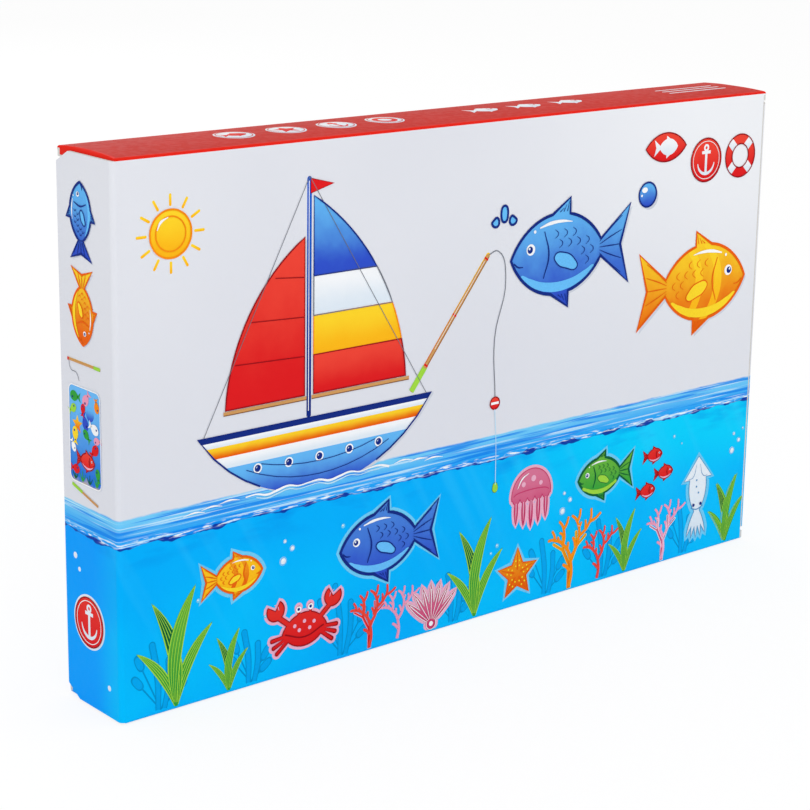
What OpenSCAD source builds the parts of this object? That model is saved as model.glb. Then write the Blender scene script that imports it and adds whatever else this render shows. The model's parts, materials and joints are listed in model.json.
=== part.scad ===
// Printed toy carton with a tucked closure at each end.
// It stands on its long narrow base panel, with its front towards -Y. The origin is the middle of the base.

/* [Carton] */
// Length of the closed carton, over both end closures
carton_l = 390; // [330:5:480]
// Depth of the carton, front face to back face
carton_d = 44; // [38:1:80]
// Height of the carton at its folds
carton_h = 240; // [225:5:300]
// How far the top panel swells between its folds
top_crown = 0.8; // [0.3:0.1:2]
// Thickness of the board
board_t = 1.5; // [1.2:0.1:1.8]
// Inside radius of the folds along the carton
fold_inner_r = 0.2; // [0.1:0.1:0.4]

/* [End closures] */
// Inside radius of the fold that a closure turns on
hinge_inner_r = 0.7; // [0.6:0.1:1.2]
// Room between pieces of board that slide past each other
board_gap = 0.3; // [0.2:0.05:0.4]
// How far a closure's top and bottom edges stand inside the carton's
closure_relief = 1; // [0.6:0.1:1.6]
// Length of the tuck tongue, from the end face to its tip
tongue_l = 15; // [10:1:20]
// Radius of the tongue's free corners
tongue_corner_r = 8; // [4:1:9]
// How far the rolled tuck fold stands out past its tongue
roll_lift = 0.8; // [0.5:0.1:1]
// Width of the corner cut beside the tuck fold
corner_cut_w = 10; // [6:1:14]
// Height of the corner cut beside the tuck fold
corner_cut_h = 5.5; // [4:0.5:9]

/* [Dust flaps and seam] */
// Length of each dust flap
dust_l = 66; // [40:1:90]
// Radius of a dust flap's free corners
dust_corner_r = 9; // [4:1:12]
// Width of the red bleed that runs over the fold onto each upper dust flap
bleed_w = 2; // [1:0.5:4]
// Width of the glue flap inside the back panel
glue_flap_w = 22; // [14:1:30]
// How far the back panel's raw edge stands above the base
seam_lift = 0.8; // [0.4:0.1:1]

/* [Print] */
// Thickness of one printed layer
ink_t = 0.06; // [0.05:0.01:0.1]
// How far the red of the top runs down over its long folds
red_wrap = 1; // [0.6:0.1:1.5]
// Height of the sea below the surface water
sea_h = 78; // [60:1:90]
// Height of the surface water
shallows_h = 13; // [8:1:20]
// Length of each large fish on the front
emblem_l = 78; // [60:1:84]
// Length of the boat's deck
boat_l = 128; // [100:1:132]
// Height of the boat's mast above its deck
mast_h = 104; // [80:1:110]
// Radius of the round badges on the front
badge_r = 11; // [8:0.5:13]
// Radius of the round fields on the top panel
disc_r = 9; // [6:0.5:12]
// Width of thin printed lines
line_w = 1.2; // [0.8:0.1:2]
// Height of the waves between sea and surface water
wave_h = 1.6; // [0.5:0.1:2.5]
// Length of one wave
wave_l = 39; // [25:1:60]

/* [Hidden] */
$fn = 48;
over = 1;                                              // how far a cutter runs past what it cuts
half_l = carton_l / 2;
half_d = carton_d / 2;
crest_z = carton_h + top_crown;
fold_r = board_t + fold_inner_r;
hinge_r = board_t + hinge_inner_r;
hinge_x = half_l - hinge_r;                            // both hinge axes, counted from the origin
hinge_y = half_d - hinge_r;
flap_x = half_l - board_t - board_gap;                 // outer face of the dust flaps
setback = 2 * board_t + 2 * board_gap;                 // a tucked panel's raw edge, from the end face
tongue_r = carton_d - hinge_r - board_t - board_gap;   // the tongue swings on this radius about its hinge
edge_y = tongue_r + roll_lift;                         // tuck fold's outermost line, from the hinge axis
roll_y = edge_y - board_t;                             // centre of the rolled tuck fold
tuck_z = closure_relief + corner_cut_h;                // lower end of the tuck fold
flap_root_y = 2 * hinge_r + board_gap - half_d;         // dust flap's edge beside the hinge
flap_root_w = half_d - board_gap - flap_root_y;
sea_top = sea_h + shallows_h;
wave_step = wave_l / 8;
crown_steps = 6;                                       // flat steps in each half of the top's swell
sky_h = carton_h - sea_top;
boat_at = [-0.47, 0.18];                               // places in the sky, as shares of half_l and sky_h
mast_at = [-0.5, 0.18];
sun_at = [-0.86, 0.78];
blue_fish_at = [0.3, 0.55];
orange_fish_at = [0.74, 0.37];
ball_at = [0.56, 0.7];
leaf_badge_at = [0.62, 0.85];
anchor_badge_at = [0.77, 0.79];
ring_badge_at = [0.9, 0.79];
rod_at = [-0.2, 0.2];
float_at = [0.06, 0.1];
angelfish_at = [-0.71, 0.69];                          // places in the sea, as shares of half_l and sea_h
crab_at = [-0.51, 0.26];
tuna_at = [-0.26, 0.66];
shell_at = [-0.13, 0.06];
jellyfish_at = [0.19, 0.72];
starfish_at = [0.15, 0.22];
wrasse_at = [0.45, 0.72];
squid_at = [0.8, 0.4];
shoal_at = [0.62, 0.66];
tuna_l = 0.74 * sea_h;
wrasse_l = 0.49 * sea_h;
angelfish_l = 0.41 * sea_h;
shoal_fish_l = 0.18 * sea_h;
crab_w = 0.51 * sea_h;
squid_h = 0.56 * sea_h;
jellyfish_w = 0.33 * sea_h;
starfish_r = 0.17 * sea_h;
shell_h = 0.26 * sea_h;
weeds = [[-0.86, 0.7], [-0.72, 0.38], [0.01, 0.64], [0.53, 0.44], [0.92, 0.49]];    // places and heights
bubbles_at = [[-0.57, 0.7], [0.3, 0.55], [0.93, 0.66]];
sun_r = 10;
float_r = 3;
edge_mid = (edge_y - hinge_r) / 2 + hinge_r - hinge_y;  // middle of a closure's panel, across the carton
end_fish_l = 0.215 * sky_h;
card_w = 0.55 * carton_d;
card_h = 0.28 * sky_h;
card_z = sea_top + 0.2 * sky_h;                        // middle of the picture card on each closure
end_rod_z = sea_top + 0.41 * sky_h;
end_orange_fish_z = sea_top + 0.57 * sky_h;
end_blue_fish_z = sea_top + 0.81 * sky_h;
deck_h = 5;                                            // height of each band of the hull
sail_foot = 52;
sail_h = mast_h * 0.84;
sail_lift = mast_h * 0.1;
rod_l = 72;
rod_lean = 38;

// Upper edge of a water field: gentle waves about a level
function wave_z(x, level) =
    level + wave_h / 2 * (sin(360 * x / wave_l) + 0.5 * sin(360 * x / wave_l * 2.3 + 40));

// Rectangle with round corners, from its lower left corner
module round_rect(w, h, r) {
    translate([r, 0]) square([w - 2 * r, h]);
    translate([0, r]) square([w, h - 2 * r]);
    for (x = [r, w - r], y = [r, h - r]) translate([x, y]) circle(r);
}

// Turns a drawing so that it stands across the carton and runs along X
module along_x(length) {
    translate([-length / 2, 0, 0]) rotate([90, 0, 90]) linear_extrude(length) children();
}

// Turns a drawing so that it stands along the carton and runs along Y
module along_y(depth) {
    translate([0, depth / 2, 0]) rotate([90, 0, 0]) linear_extrude(depth) children();
}

// Swell of the top panel between its folds, on a level base line, in flat steps
module crown(level) {
    reach = half_d - fold_r;
    polygon(concat(
        [[-reach, level - fold_inner_r], [reach, level - fold_inner_r]],
        [for (i = [crown_steps:-1:-crown_steps])
            [reach * i / crown_steps, level + top_crown * (1 - pow(i / crown_steps, 2))]]
    ));
}

// Cross-section of the carton's outside, or grown by some printed layers
module outer_section(grow = 0) {
    translate([-half_d - grow, -grow])
        round_rect(carton_d + 2 * grow, carton_h + 2 * grow, fold_r + grow);
    crown(carton_h + grow);
}

// Cross-section of the hollow
module inner_section() {
    translate([board_t - half_d, board_t]) square([carton_d - 2 * board_t, carton_h - 2 * board_t]);
    crown(carton_h - board_t);
}

// Outline of the carton seen from the front, up to the dust flaps' faces
module front_outline(grow = 0) {
    translate([-flap_x - grow, -grow])
        round_rect(2 * (flap_x + grow), crest_z + 2 * grow, fold_r + grow);
}

// Solid block of the carton's outside, round along every fold
module outer_block(grow = 0) {
    intersection() {
        along_x(carton_l) outer_section(grow);
        along_y(carton_d + 2 * over) front_outline(grow);
    }
}

// Cross-section of the wall, with the back panel glued over the flap at the base
module wall_section() {
    seam_y = half_d - board_t;
    difference() {
        outer_section();
        inner_section();
        translate([seam_y - fold_r, -over]) square([fold_r + board_t + over, fold_r + over]);
    }
    translate([seam_y, seam_lift]) square([board_t, fold_r]);
    translate([seam_y - fold_r, fold_r]) intersection() {
        difference() {
            circle(fold_r);
            circle(fold_inner_r);
        }
        translate([0, -fold_r]) square(fold_r);
    }
}

// Flap inside the back panel, cut back at both ends to clear the tuck tongues
module glue_flap() {
    root_z = tuck_z - board_t;
    free_x = half_l - tongue_l - board_t;
    translate([0, half_d - board_t, 0]) rotate([90, 0, 0]) linear_extrude(board_t) polygon([
        [-hinge_x, fold_r], [hinge_x, fold_r], [hinge_x, root_z], [free_x, root_z],
        [free_x - glue_flap_w / 3, glue_flap_w], [glue_flap_w / 3 - free_x, glue_flap_w],
        [-free_x, root_z], [-hinge_x, root_z]
    ]);
}

// What the front panel loses at its two ends: room for its own fold, and for the other closure's tuck
module panel_end_cuts() {
    translate([-half_l - over, -half_d - over, closure_relief])
        cube([hinge_r + over, board_t + over, carton_h - 2 * closure_relief]);
    translate([half_l - setback, -half_d - over, seam_lift])
        cube([setback + over, board_t + over, carton_h - fold_r - seam_lift]);
}

// The board rolled round the hinge axis, from the front panel to where the closure starts
module hinge_fold(inner = hinge_inner_r, outer = hinge_r) {
    reach = 3 * outer;
    translate([-hinge_x, -hinge_y, closure_relief])
        linear_extrude(carton_h - 2 * closure_relief) difference() {
            circle(outer);
            circle(inner);
            polygon([[0, 0], [0, -reach], [reach, -reach], [reach, reach], [-reach * tan(30), reach]]);
        }
}

// Dust flap at the left end, hanging from the top panel, before its root is rounded
module dust_flap() {
    tuck_side = roll_y - hinge_y - board_t - 2 * board_gap;
    roll_end = corner_cut_h * 2 * board_t / corner_cut_w;
    shoulder_z = carton_h - tuck_z + roll_end + board_gap;
    tip_z = carton_h - dust_l;
    translate([-flap_x, 0, 0]) rotate([90, 0, 90]) linear_extrude(board_t) {
        translate([flap_root_y, shoulder_z])
            square([flap_root_w, crest_z - shoulder_z]);
        translate([flap_root_y, tip_z])
            round_rect(tuck_side - flap_root_y, crest_z - tip_z, dust_corner_r);
    }
}

// The folded sheet: tube, glue flap, four dust flaps and the two hinge folds
module carton() {
    color("whitesmoke") {
        difference() {
            intersection() {
                along_x(carton_l) wall_section();
                outer_block();
            }
            for (end = [0, 180]) rotate(end) panel_end_cuts();
        }
        glue_flap();
        for (end = [0, 180]) rotate(end) hinge_fold();
        intersection() {
            for (end = [0, 180]) rotate(end) {
                dust_flap();
                translate([0, 0, carton_h]) mirror([0, 0, 1]) dust_flap();
            }
            outer_block();
        }
    }
}

// Outline of a closure's panel seen from its end, with the corners cut beside the tuck fold
module closure_outline() {
    low = closure_relief;
    high = carton_h - closure_relief;
    polygon([
        [-hinge_r, low], [edge_y - corner_cut_w, low], [edge_y, tuck_z], [edge_y + over, tuck_z],
        [edge_y + over, carton_h - tuck_z], [edge_y, carton_h - tuck_z], [edge_y - corner_cut_w, high],
        [-hinge_r, high]
    ]);
}

// Plan of a closure's panel and rolled tuck fold, about the hinge axis
module closure_plan() {
    translate([-hinge_r, 0]) difference() {
        square([board_t, roll_y]);
        translate([hinge_r, 0]) circle(hinge_r + ink_t + board_gap);
    }
    translate([board_t - hinge_r, roll_y]) circle(board_t);
}

// Plan of the tuck tongue, which follows the arc that it swings through
module tongue_plan() {
    intersection() {
        difference() {
            circle(tongue_r, $fn = 200);
            circle(tongue_r - board_t, $fn = 200);
        }
        translate([board_t - hinge_r, tongue_r / 2]) square([tongue_l, tongue_r]);
    }
}

// Closure of the left end: panel, tuck fold and tongue
module closure() {
    translate([-hinge_x, -hinge_y, 0]) {
        intersection() {
            linear_extrude(carton_h) closure_plan();
            translate([-hinge_r - over, 0, 0]) rotate([90, 0, 90])
                linear_extrude(hinge_r + 2 * board_t) closure_outline();
        }
        intersection() {
            linear_extrude(carton_h) tongue_plan();
            translate([-tongue_l, carton_d, tuck_z]) rotate([90, 0, 0]) linear_extrude(carton_d)
                round_rect(2 * tongue_l - hinge_r, carton_h - 2 * tuck_z, tongue_corner_r);
        }
    }
}

module left_closure() {
    color("white") closure();
}

module right_closure() {
    color("white") rotate(180) closure();
}

// Band across the carton's long sides, between two water or sky levels
module level_band(low, high) {
    steps = ceil(half_l / wave_step);
    lower = [for (i = [-steps:steps]) [i * wave_step, low == 0 ? fold_r / 4 : wave_z(i * wave_step, low)]];
    upper = [for (i = [steps:-1:-steps])
        [i * wave_step, high == carton_h ? carton_h - red_wrap : wave_z(i * wave_step, high)]];
    polygon(concat(lower, upper));
}

// Printed layer on the front and back panels and the hinge folds, between two levels
module side_field(low, high) {
    difference() {
        intersection() {
            outer_block(ink_t);
            along_y(carton_d + 2 * over) level_band(low, high);
            translate([-flap_x, -half_d - over, 0]) cube([2 * flap_x, carton_d + 2 * over, crest_z]);
        }
        outer_block();
        translate([-half_l, fold_r - half_d, -over])
            cube([carton_l, carton_d - 2 * fold_r, crest_z + 2 * over]);
        for (end = [0, 180]) rotate(end) panel_end_cuts();
    }
    intersection() {
        for (end = [0, 180]) rotate(end) hinge_fold(hinge_r, hinge_r + ink_t);
        along_y(carton_d + 2 * over) level_band(low, high);
    }
}

module sky_print() {
    color("lavender") side_field(sea_top, carton_h);
}

module sea_print() {
    color("deepskyblue") {
        side_field(0, sea_h);
        flap_bleed(fold_r / 4, fold_r + bleed_w);
    }
}

module shallows_print() {
    color("skyblue") side_field(sea_h, sea_top);
}

// Printed layer over the fold of the dust flaps, between two levels
module flap_bleed(low, high) {
    intersection() {
        difference() {
            outer_block(ink_t);
            outer_block();
        }
        for (end = [0, 180]) rotate(end)
            translate([-half_l, flap_root_y, low])
                cube([half_l - flap_x + fold_r, half_d - board_gap - fold_r - flap_root_y, high - low]);
    }
}

// Red field over the top panel, its folds and the roots of the upper dust flaps
module top_print() {
    color("crimson") {
        difference() {
            outer_block(ink_t);
            outer_block();
            translate([-half_l, -half_d - over, -over])
                cube([carton_l, carton_d + 2 * over, carton_h - red_wrap + over]);
        }
        flap_bleed(carton_h - fold_r - bleed_w, carton_h - red_wrap);
    }
}

// Printed layer on a closure, between two levels
module closure_field(low, high) {
    bottom = low == 0 ? closure_relief : low;
    top = high == carton_h ? carton_h - closure_relief : high;
    translate([-hinge_x, -hinge_y, 0]) intersection() {
        translate([0, 0, bottom]) linear_extrude(top - bottom) {
            translate([-hinge_r - ink_t, 0]) difference() {
                square([ink_t, roll_y]);
                translate([hinge_r + ink_t, 0]) circle(hinge_r + 2 * ink_t + board_gap);
            }
            translate([board_t - hinge_r, roll_y]) intersection() {
                difference() {
                    circle(board_t + ink_t);
                    circle(board_t);
                }
                translate([-2 * board_t, 0]) square(2 * board_t);
            }
        }
        translate([-hinge_r - over, 0, 0]) rotate([90, 0, 90])
            linear_extrude(hinge_r + 2 * board_t) closure_outline();
    }
}

module closure_sky() {
    color("lavender") closure_field(sea_top, carton_h);
}

module closure_sea() {
    color("deepskyblue") closure_field(0, sea_h);
}

// Leaf shape that two equal arcs make, pointed at both ends
module leaf(length, width) {
    r = (length * length + width * width) / (4 * width);
    intersection() {
        translate([0, width / 2 - r]) circle(r, $fn = 96);
        translate([0, r - width / 2]) circle(r, $fn = 96);
    }
}

// Leaf shape that stands on its lower point and leans by an angle
module blade(height, lean = 0) {
    rotate(-lean) translate([0, height / 2]) rotate(90) leaf(height, height / 7);
}

// Straight stroke with round ends, standing on its lower end
module stroke(length, width, lean = 0) {
    rotate(-lean) {
        translate([-width / 2, 0]) square([width, length]);
        for (z = [0, length]) translate([0, z]) circle(width / 2);
    }
}

// Fish that heads to the right, its body centred
module fish(length) {
    body_l = length * 0.78;
    translate([length / 2 - body_l / 2, 0]) leaf(body_l, length * 0.5);
    polygon(length * [[-0.18, 0], [-0.5, 0.25], [-0.42, 0], [-0.5, -0.25]]);
    for (side = [0, 1]) mirror([0, side]) polygon(length * [[0.02, 0.2], [0.24, 0.2], [0.02, 0.34]]);
}

// Cross-bands that lie on a fish
module fish_bands(length) {
    intersection() {
        translate([length * 0.11, 0]) leaf(length * 0.78, length * 0.5);
        for (x = [-0.2, -0.02]) translate([length * x, 0]) difference() {
            circle(length * 0.3);
            translate([-length * 0.07, 0]) circle(length * 0.3);
        }
    }
}

module fish_eye(length) {
    translate([length * 0.34, length * 0.05]) circle(length * 0.035);
}

// Crab from in front, its shell centred
module crab(width) {
    leaf(width * 0.62, width * 0.4);
    for (side = [0, 1]) mirror([side, 0]) {
        for (lean = [95, 112, 129])
            translate([width * 0.15, -width * 0.02]) stroke(width * 0.3, width * 0.045, lean);
        translate([width * 0.2, width * 0.08]) stroke(width * 0.22, width * 0.06, 50);
        translate([width * 0.4, width * 0.3]) difference() {
            circle(width * 0.12);
            rotate(30) square(width * 0.13);
        }
        translate([width * 0.08, width * 0.15]) stroke(width * 0.12, width * 0.03);
    }
}

// Jellyfish: a dome over wavering arms, centred on the dome's rim
module jellyfish(width) {
    intersection() {
        circle(width / 2);
        translate([-width / 2, -width * 0.06]) square(width);
    }
    for (i = [-2:2]) translate([i * width * 0.19, -width * 0.05]) {
        circle(width * 0.09);
        translate([0, -width * (0.62 - 0.06 * abs(i))]) blade(width * 0.62, 0);
    }
}

module starfish(radius) {
    polygon([for (i = [0:9]) (i % 2 == 0 ? radius : radius * 0.45) * [sin(36 * i), cos(36 * i)]]);
}

// Ribbed shell standing on its hinge
module shell(height) {
    for (lean = [-48:16:48]) blade(height, lean);
    circle(height * 0.14);
}

// Branching coral, each branch split in two for a number of levels
module coral(height, levels, lean = 0) {
    rotate(-lean) {
        stroke(height * 0.42, height * 0.07);
        if (levels > 0)
            for (fork = [-28, 26]) translate([0, height * 0.38]) coral(height * 0.72, levels - 1, fork);
    }
}

// Radius of an arc over a chord, from how far its middle rises over the chord
function arc_r(chord, rise) = (chord * chord / 4 + rise * rise) / (2 * rise);

// Curved leaf between two arcs that meet at its foot and its tip, standing on its foot and bowed to the left
module frond(height) {
    inner = height / 30;
    outer = inner + height / 8;
    translate([0, height / 2]) difference() {
        translate([arc_r(height, outer) - outer, 0]) circle(arc_r(height, outer), $fn = 96);
        translate([arc_r(height, inner) - inner, 0]) circle(arc_r(height, inner), $fn = 96);
    }
}

// Tuft of seaweed whose leaves part to both sides
module seaweed(height) {
    for (part = [[-33, 0.66, 1], [-13, 0.96, 1], [11, 1.02, 0], [28, 0.74, 0]])
        rotate(-part[0]) mirror([part[2], 0]) frond(height * part[1]);
}

module anchor(height) {
    stock = height * 0.1;
    translate([0, height * 0.4]) difference() {
        circle(height * 0.12);
        circle(height * 0.05);
    }
    translate([0, -height * 0.4]) stroke(height * 0.7, stock);
    translate([-height * 0.2, height * 0.2]) square([height * 0.4, stock]);
    difference() {
        translate([0, -height * 0.1]) circle(height * 0.4);
        translate([0, -height * 0.02]) circle(height * 0.38);
        translate([-height / 2, -height * 0.1]) square(height);
    }
}

module life_ring(radius) {
    difference() {
        circle(radius);
        circle(radius * 0.55);
    }
}

// Cross-bands that lie on a life ring
module ring_bands(radius) {
    intersection() {
        life_ring(radius);
        for (turn = [45, 135]) rotate(turn) square([radius * 2.2, radius * 0.4], center = true);
    }
}

// Band of the boat's hull between two heights under its deck, over a given length of deck
module hull_band(low, high) {
    intersection() {
        leaf(boat_l, boat_l * 0.52);
        translate([-boat_l / 2, -high]) square([boat_l, high - low]);
    }
}

// Sail with its straight edge on the mast and a full outer edge, between two shares of its height
module sail(foot, height, low, high) {
    chord = norm([foot, height]);
    intersection() {
        square([foot, height]);
        translate([foot / 2 - height, height / 2 - foot]) circle(norm([chord, chord / 2]), $fn = 128);
        translate([0, height * low]) square([foot, height * (high - low)]);
    }
}

// Squid that swims upwards, its body centred
module squid(height) {
    translate([0, height * 0.12]) rotate(90) leaf(height * 0.7, height * 0.3);
    polygon([[0, height * 0.5], [height * 0.24, height * 0.22], [-height * 0.24, height * 0.22]]);
    for (lean = [-24:12:24]) translate([0, -height * 0.12]) rotate(180) blade(height * 0.4, lean);
}

// Printed layer on the flat of the front panel, one or more layers above the board
module on_front(layer = 1) {
    translate([0, -half_d - layer * ink_t, 0]) rotate([90, 0, 0]) linear_extrude(ink_t) intersection() {
        union() children();
        translate([-hinge_x, fold_r]) square([hinge_x + half_l - setback, carton_h - 2 * fold_r]);
    }
}

// Printed layer on the flat of the left closure, drawn as someone facing it sees it
module on_end(layer = 1) {
    translate([-half_l - layer * ink_t, 0, 0]) rotate([90, 0, -90]) linear_extrude(ink_t) intersection() {
        union() children();
        translate([hinge_y - roll_y, tuck_z]) square([roll_y - hinge_r, carton_h - 2 * tuck_z]);
    }
}

// Printed layer on the swelling top panel
module on_top(layer = 1) {
    intersection() {
        difference() {
            outer_block((layer + 1) * ink_t);
            outer_block(layer * ink_t);
        }
        translate([0, 0, carton_h - fold_r]) linear_extrude(2 * fold_r + top_crown) children();
    }
}

// Puts a motif at one of the named places in the sea or the sky, turned over left to right if asked
module in_sea(place, flip = false) {
    translate([place.x * half_l, place.y * sea_h]) mirror([flip ? 1 : 0, 0]) children();
}

module in_sky(place, flip = false) {
    translate([place.x * half_l, sea_top + place.y * sky_h]) mirror([flip ? 1 : 0, 0]) children();
}

// Foot of the main sail, a little above the deck and clear of the mast
module on_mast() {
    in_sky(mast_at) translate([2 * line_w, sail_lift]) children();
}

// Middle of each round field on the top panel
function disc_x(i) = half_l * (i * 0.14 - 0.62);

// One small sign for each round field on the top panel
module top_icon(i) {
    if (i == 0) fish(1.4 * disc_r);
    if (i == 1) starfish(0.7 * disc_r);
    if (i == 2) anchor(1.3 * disc_r);
    if (i == 3) life_ring(0.65 * disc_r);
}

// Air bubble: its place and radius
module bubble(spot) {
    translate([spot.x, spot.y]) circle(spot.z);
}

module blue_print() {
    color("royalblue") on_front() {
        in_sea(tuna_at, true) fish(tuna_l);
        in_sky(blue_fish_at, true) fish(emblem_l);
        in_sky(ball_at) circle(badge_r * 0.55);
        in_sky(boat_at) hull_band(3 * deck_h, boat_l);
        on_mast() sail(sail_foot, sail_h, 0.6, 1);
    }
}

module orange_print() {
    color("orange") {
        on_front() {
            in_sea(starfish_at) starfish(starfish_r);
            in_sea([0.33, 0]) coral(0.46 * sea_h, 2);
            in_sky(orange_fish_at) fish(emblem_l);
            in_sky(boat_at) hull_band(deck_h, 2 * deck_h);
            in_sky(rod_at) stroke(rod_l, 2 * line_w, rod_lean);
        }
        on_front(2) in_sea(angelfish_at) fish_bands(angelfish_l);
    }
}

module yellow_print() {
    color("gold") {
        on_front() {
            in_sea(angelfish_at) fish(angelfish_l);
            in_sky(sun_at) sun(sun_r);
            on_mast() sail(sail_foot, sail_h, 0.2, 0.4);
        }
        on_front(2) in_sky(orange_fish_at) fish_bands(emblem_l);
    }
}

module red_print() {
    color("red") {
        on_front() {
            in_sea(crab_at) crab(crab_w);
            in_sea([-0.32, 0]) coral(0.36 * sea_h, 2);
            in_sea(shoal_at) for (spot = [[0, 0.6], [0.6, -0.15], [-0.3, -0.7]])
                translate(spot * shoal_fish_l) fish(shoal_fish_l);
            in_sky(leaf_badge_at) leaf(2.6 * badge_r, 1.3 * badge_r);
            in_sky(anchor_badge_at) circle(badge_r);
            in_sky(ring_badge_at) life_ring(badge_r);
            in_sky(float_at) circle(float_r);
            on_mast() sail(sail_foot, sail_h, 0, 0.2);
            in_sky(mast_at) mirror([1, 0]) translate([2 * line_w, sail_lift])
                sail(sail_foot * 0.8, sail_h * 0.8, 0, 1);
        }
        on_top(2) for (i = [0:3]) translate([disc_x(i), 0]) top_icon(i);
    }
}

module green_print() {
    color("limegreen") on_front() {
        for (weed = weeds) in_sea([weed[0], 0]) seaweed(weed[1] * sea_h);
        in_sea(wrasse_at, true) fish(wrasse_l);
    }
}

module pink_print() {
    color("hotpink") on_front() {
        in_sea(shell_at) shell(shell_h);
        in_sea(jellyfish_at) jellyfish(jellyfish_w);
        in_sea([0.67, 0]) coral(0.38 * sea_h, 2);
    }
}

module white_print() {
    color("white") {
        on_front() {
            in_sea(squid_at) squid(squid_h);
            in_sky(boat_at) {
                hull_band(deck_h / 2, deck_h);
                hull_band(2 * deck_h, 3 * deck_h);
            }
            on_mast() sail(sail_foot, sail_h, 0.4, 0.6);
            for (place = bubbles_at)
                in_sea(place) for (spot = [[0, 0, 2], [5, 5, 1.4], [1, 9, 1]]) bubble(spot);
        }
        on_front(2) {
            in_sky(anchor_badge_at) anchor(1.4 * badge_r);
            in_sky(ring_badge_at) ring_bands(badge_r);
            in_sky(leaf_badge_at) fish(1.5 * badge_r);
            in_sea(tuna_at, true) fish_eye(tuna_l);
            in_sky(blue_fish_at, true) fish_eye(emblem_l);
            in_sky(orange_fish_at) fish_eye(emblem_l);
            in_sea(wrasse_at, true) fish_eye(wrasse_l);
        }
        on_top() {
            for (i = [0:3]) translate([disc_x(i), 0]) circle(disc_r);
            for (i = [0:2]) translate([half_l * (0.1 + 0.14 * i), 0]) fish(18);
            for (i = [-1:1]) translate([half_l * 0.72, 5 * i]) rotate(-90) stroke(40, line_w);
        }
    }
}

module navy_print() {
    color("navy") on_front() {
        in_sky(mast_at) translate([0, line_w]) stroke(mast_h, 2 * line_w);
        in_sky(boat_at) hull_band(0, deck_h / 2);
    }
}

// Sun with short straight rays
module sun(radius) {
    circle(radius);
    for (turn = [0:30:330]) rotate(turn) translate([0, 1.2 * radius]) stroke(0.4 * radius, line_w);
}

// Puts a motif on a closure at a height, on the middle of its panel
module up_end(z, turn = 0) {
    translate([-edge_mid, z]) rotate(turn) children();
}

module end_blue() {
    color("royalblue") {
        on_end() up_end(end_blue_fish_z, 90) fish(end_fish_l);
        on_end(2) up_end(card_z) translate([card_w / 6, card_h / 4]) circle(card_w / 8);
    }
}

module end_orange() {
    color("orange") {
        on_end() {
            up_end(end_orange_fish_z, -90) fish(end_fish_l);
            up_end(end_rod_z) translate([-card_w / 2, 0]) rotate(-90) stroke(card_w, line_w);
        }
        on_end(2) up_end(card_z) translate([-card_w / 4, card_h / 10]) starfish(card_w / 6);
    }
}

module end_red() {
    color("red") {
        on_end(2) {
            up_end(sea_h / 2) circle(badge_r);
            up_end(card_z) translate([0, -card_h / 4]) fish(0.6 * card_w);
        }
    }
}

module end_white() {
    color("white") {
        on_end() {
            up_end(sea_h / 2) circle(badge_r + line_w);
            for (spot = [[-0.27, 0.85, 1.4], [-0.2, 0.78, 1], [0.3, 0.18, 1.2]])
                bubble([spot.x * carton_d, spot.y * sea_h, spot.z]);
        }
        on_end(3) up_end(sea_h / 2) anchor(1.4 * badge_r);
    }
}

// Water band of a closure, with the small picture card above it
module end_shallows() {
    color("skyblue") {
        closure_field(sea_h, sea_top);
        on_end() up_end(card_z) translate([-card_w / 2, -card_h / 2]) round_rect(card_w, card_h, 3);
    }
}

carton();
sky_print();
sea_print();
shallows_print();
top_print();
blue_print();
orange_print();
yellow_print();
red_print();
green_print();
pink_print();
white_print();
navy_print();
left_closure();
closure_sky();  // left_sky_print
closure_sea();  // left_sea_print
end_shallows();  // left_shallows_print
end_blue();  // left_blue_print
end_orange();  // left_orange_print
end_red();  // left_red_print
end_white();  // left_white_print
right_closure();
rotate(180) closure_sky();  // right_sky_print
rotate(180) closure_sea();  // right_sea_print
rotate(180) end_shallows();  // right_shallows_print
rotate(180) end_blue();  // right_blue_print
rotate(180) end_orange();  // right_orange_print
rotate(180) end_red();  // right_red_print
rotate(180) end_white();  // right_white_print
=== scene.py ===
"""Dresses a packed toy carton: laminated print, drawn sea and boat, bent end folds, floor and light."""
import json
import math

import bmesh
import bpy
from bpy.props import FloatProperty, FloatVectorProperty, PointerProperty
from mathutils import Matrix, Vector
from mathutils.bvhtree import BVHTree


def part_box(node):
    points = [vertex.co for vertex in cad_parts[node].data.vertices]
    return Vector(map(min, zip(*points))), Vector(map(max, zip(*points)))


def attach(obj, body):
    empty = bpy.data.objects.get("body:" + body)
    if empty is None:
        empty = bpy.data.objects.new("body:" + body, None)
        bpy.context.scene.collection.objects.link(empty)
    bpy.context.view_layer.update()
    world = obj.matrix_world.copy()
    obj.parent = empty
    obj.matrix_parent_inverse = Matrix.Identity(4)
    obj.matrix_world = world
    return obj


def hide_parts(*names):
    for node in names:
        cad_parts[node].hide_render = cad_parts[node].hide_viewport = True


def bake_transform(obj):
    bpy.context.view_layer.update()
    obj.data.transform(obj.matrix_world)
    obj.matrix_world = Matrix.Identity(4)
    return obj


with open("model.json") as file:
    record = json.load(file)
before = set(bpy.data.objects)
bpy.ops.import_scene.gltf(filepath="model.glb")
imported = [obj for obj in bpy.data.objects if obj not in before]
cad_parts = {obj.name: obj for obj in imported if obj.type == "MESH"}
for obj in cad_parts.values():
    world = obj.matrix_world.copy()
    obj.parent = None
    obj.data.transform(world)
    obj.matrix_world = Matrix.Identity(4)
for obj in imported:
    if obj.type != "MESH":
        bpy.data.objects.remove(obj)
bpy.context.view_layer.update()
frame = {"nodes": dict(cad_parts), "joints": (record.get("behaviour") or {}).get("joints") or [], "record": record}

bl_info = {
    "name": "Printed toy carton",
    "version": (1, 0, 0),
    "blender": (4, 5, 0),
    "location": "View3D > Sidebar > Carton",
    "description": "Finishes a packed toy carton with drawn print, bending folds, a floor and soft light",
    "category": "Object",
}

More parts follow.
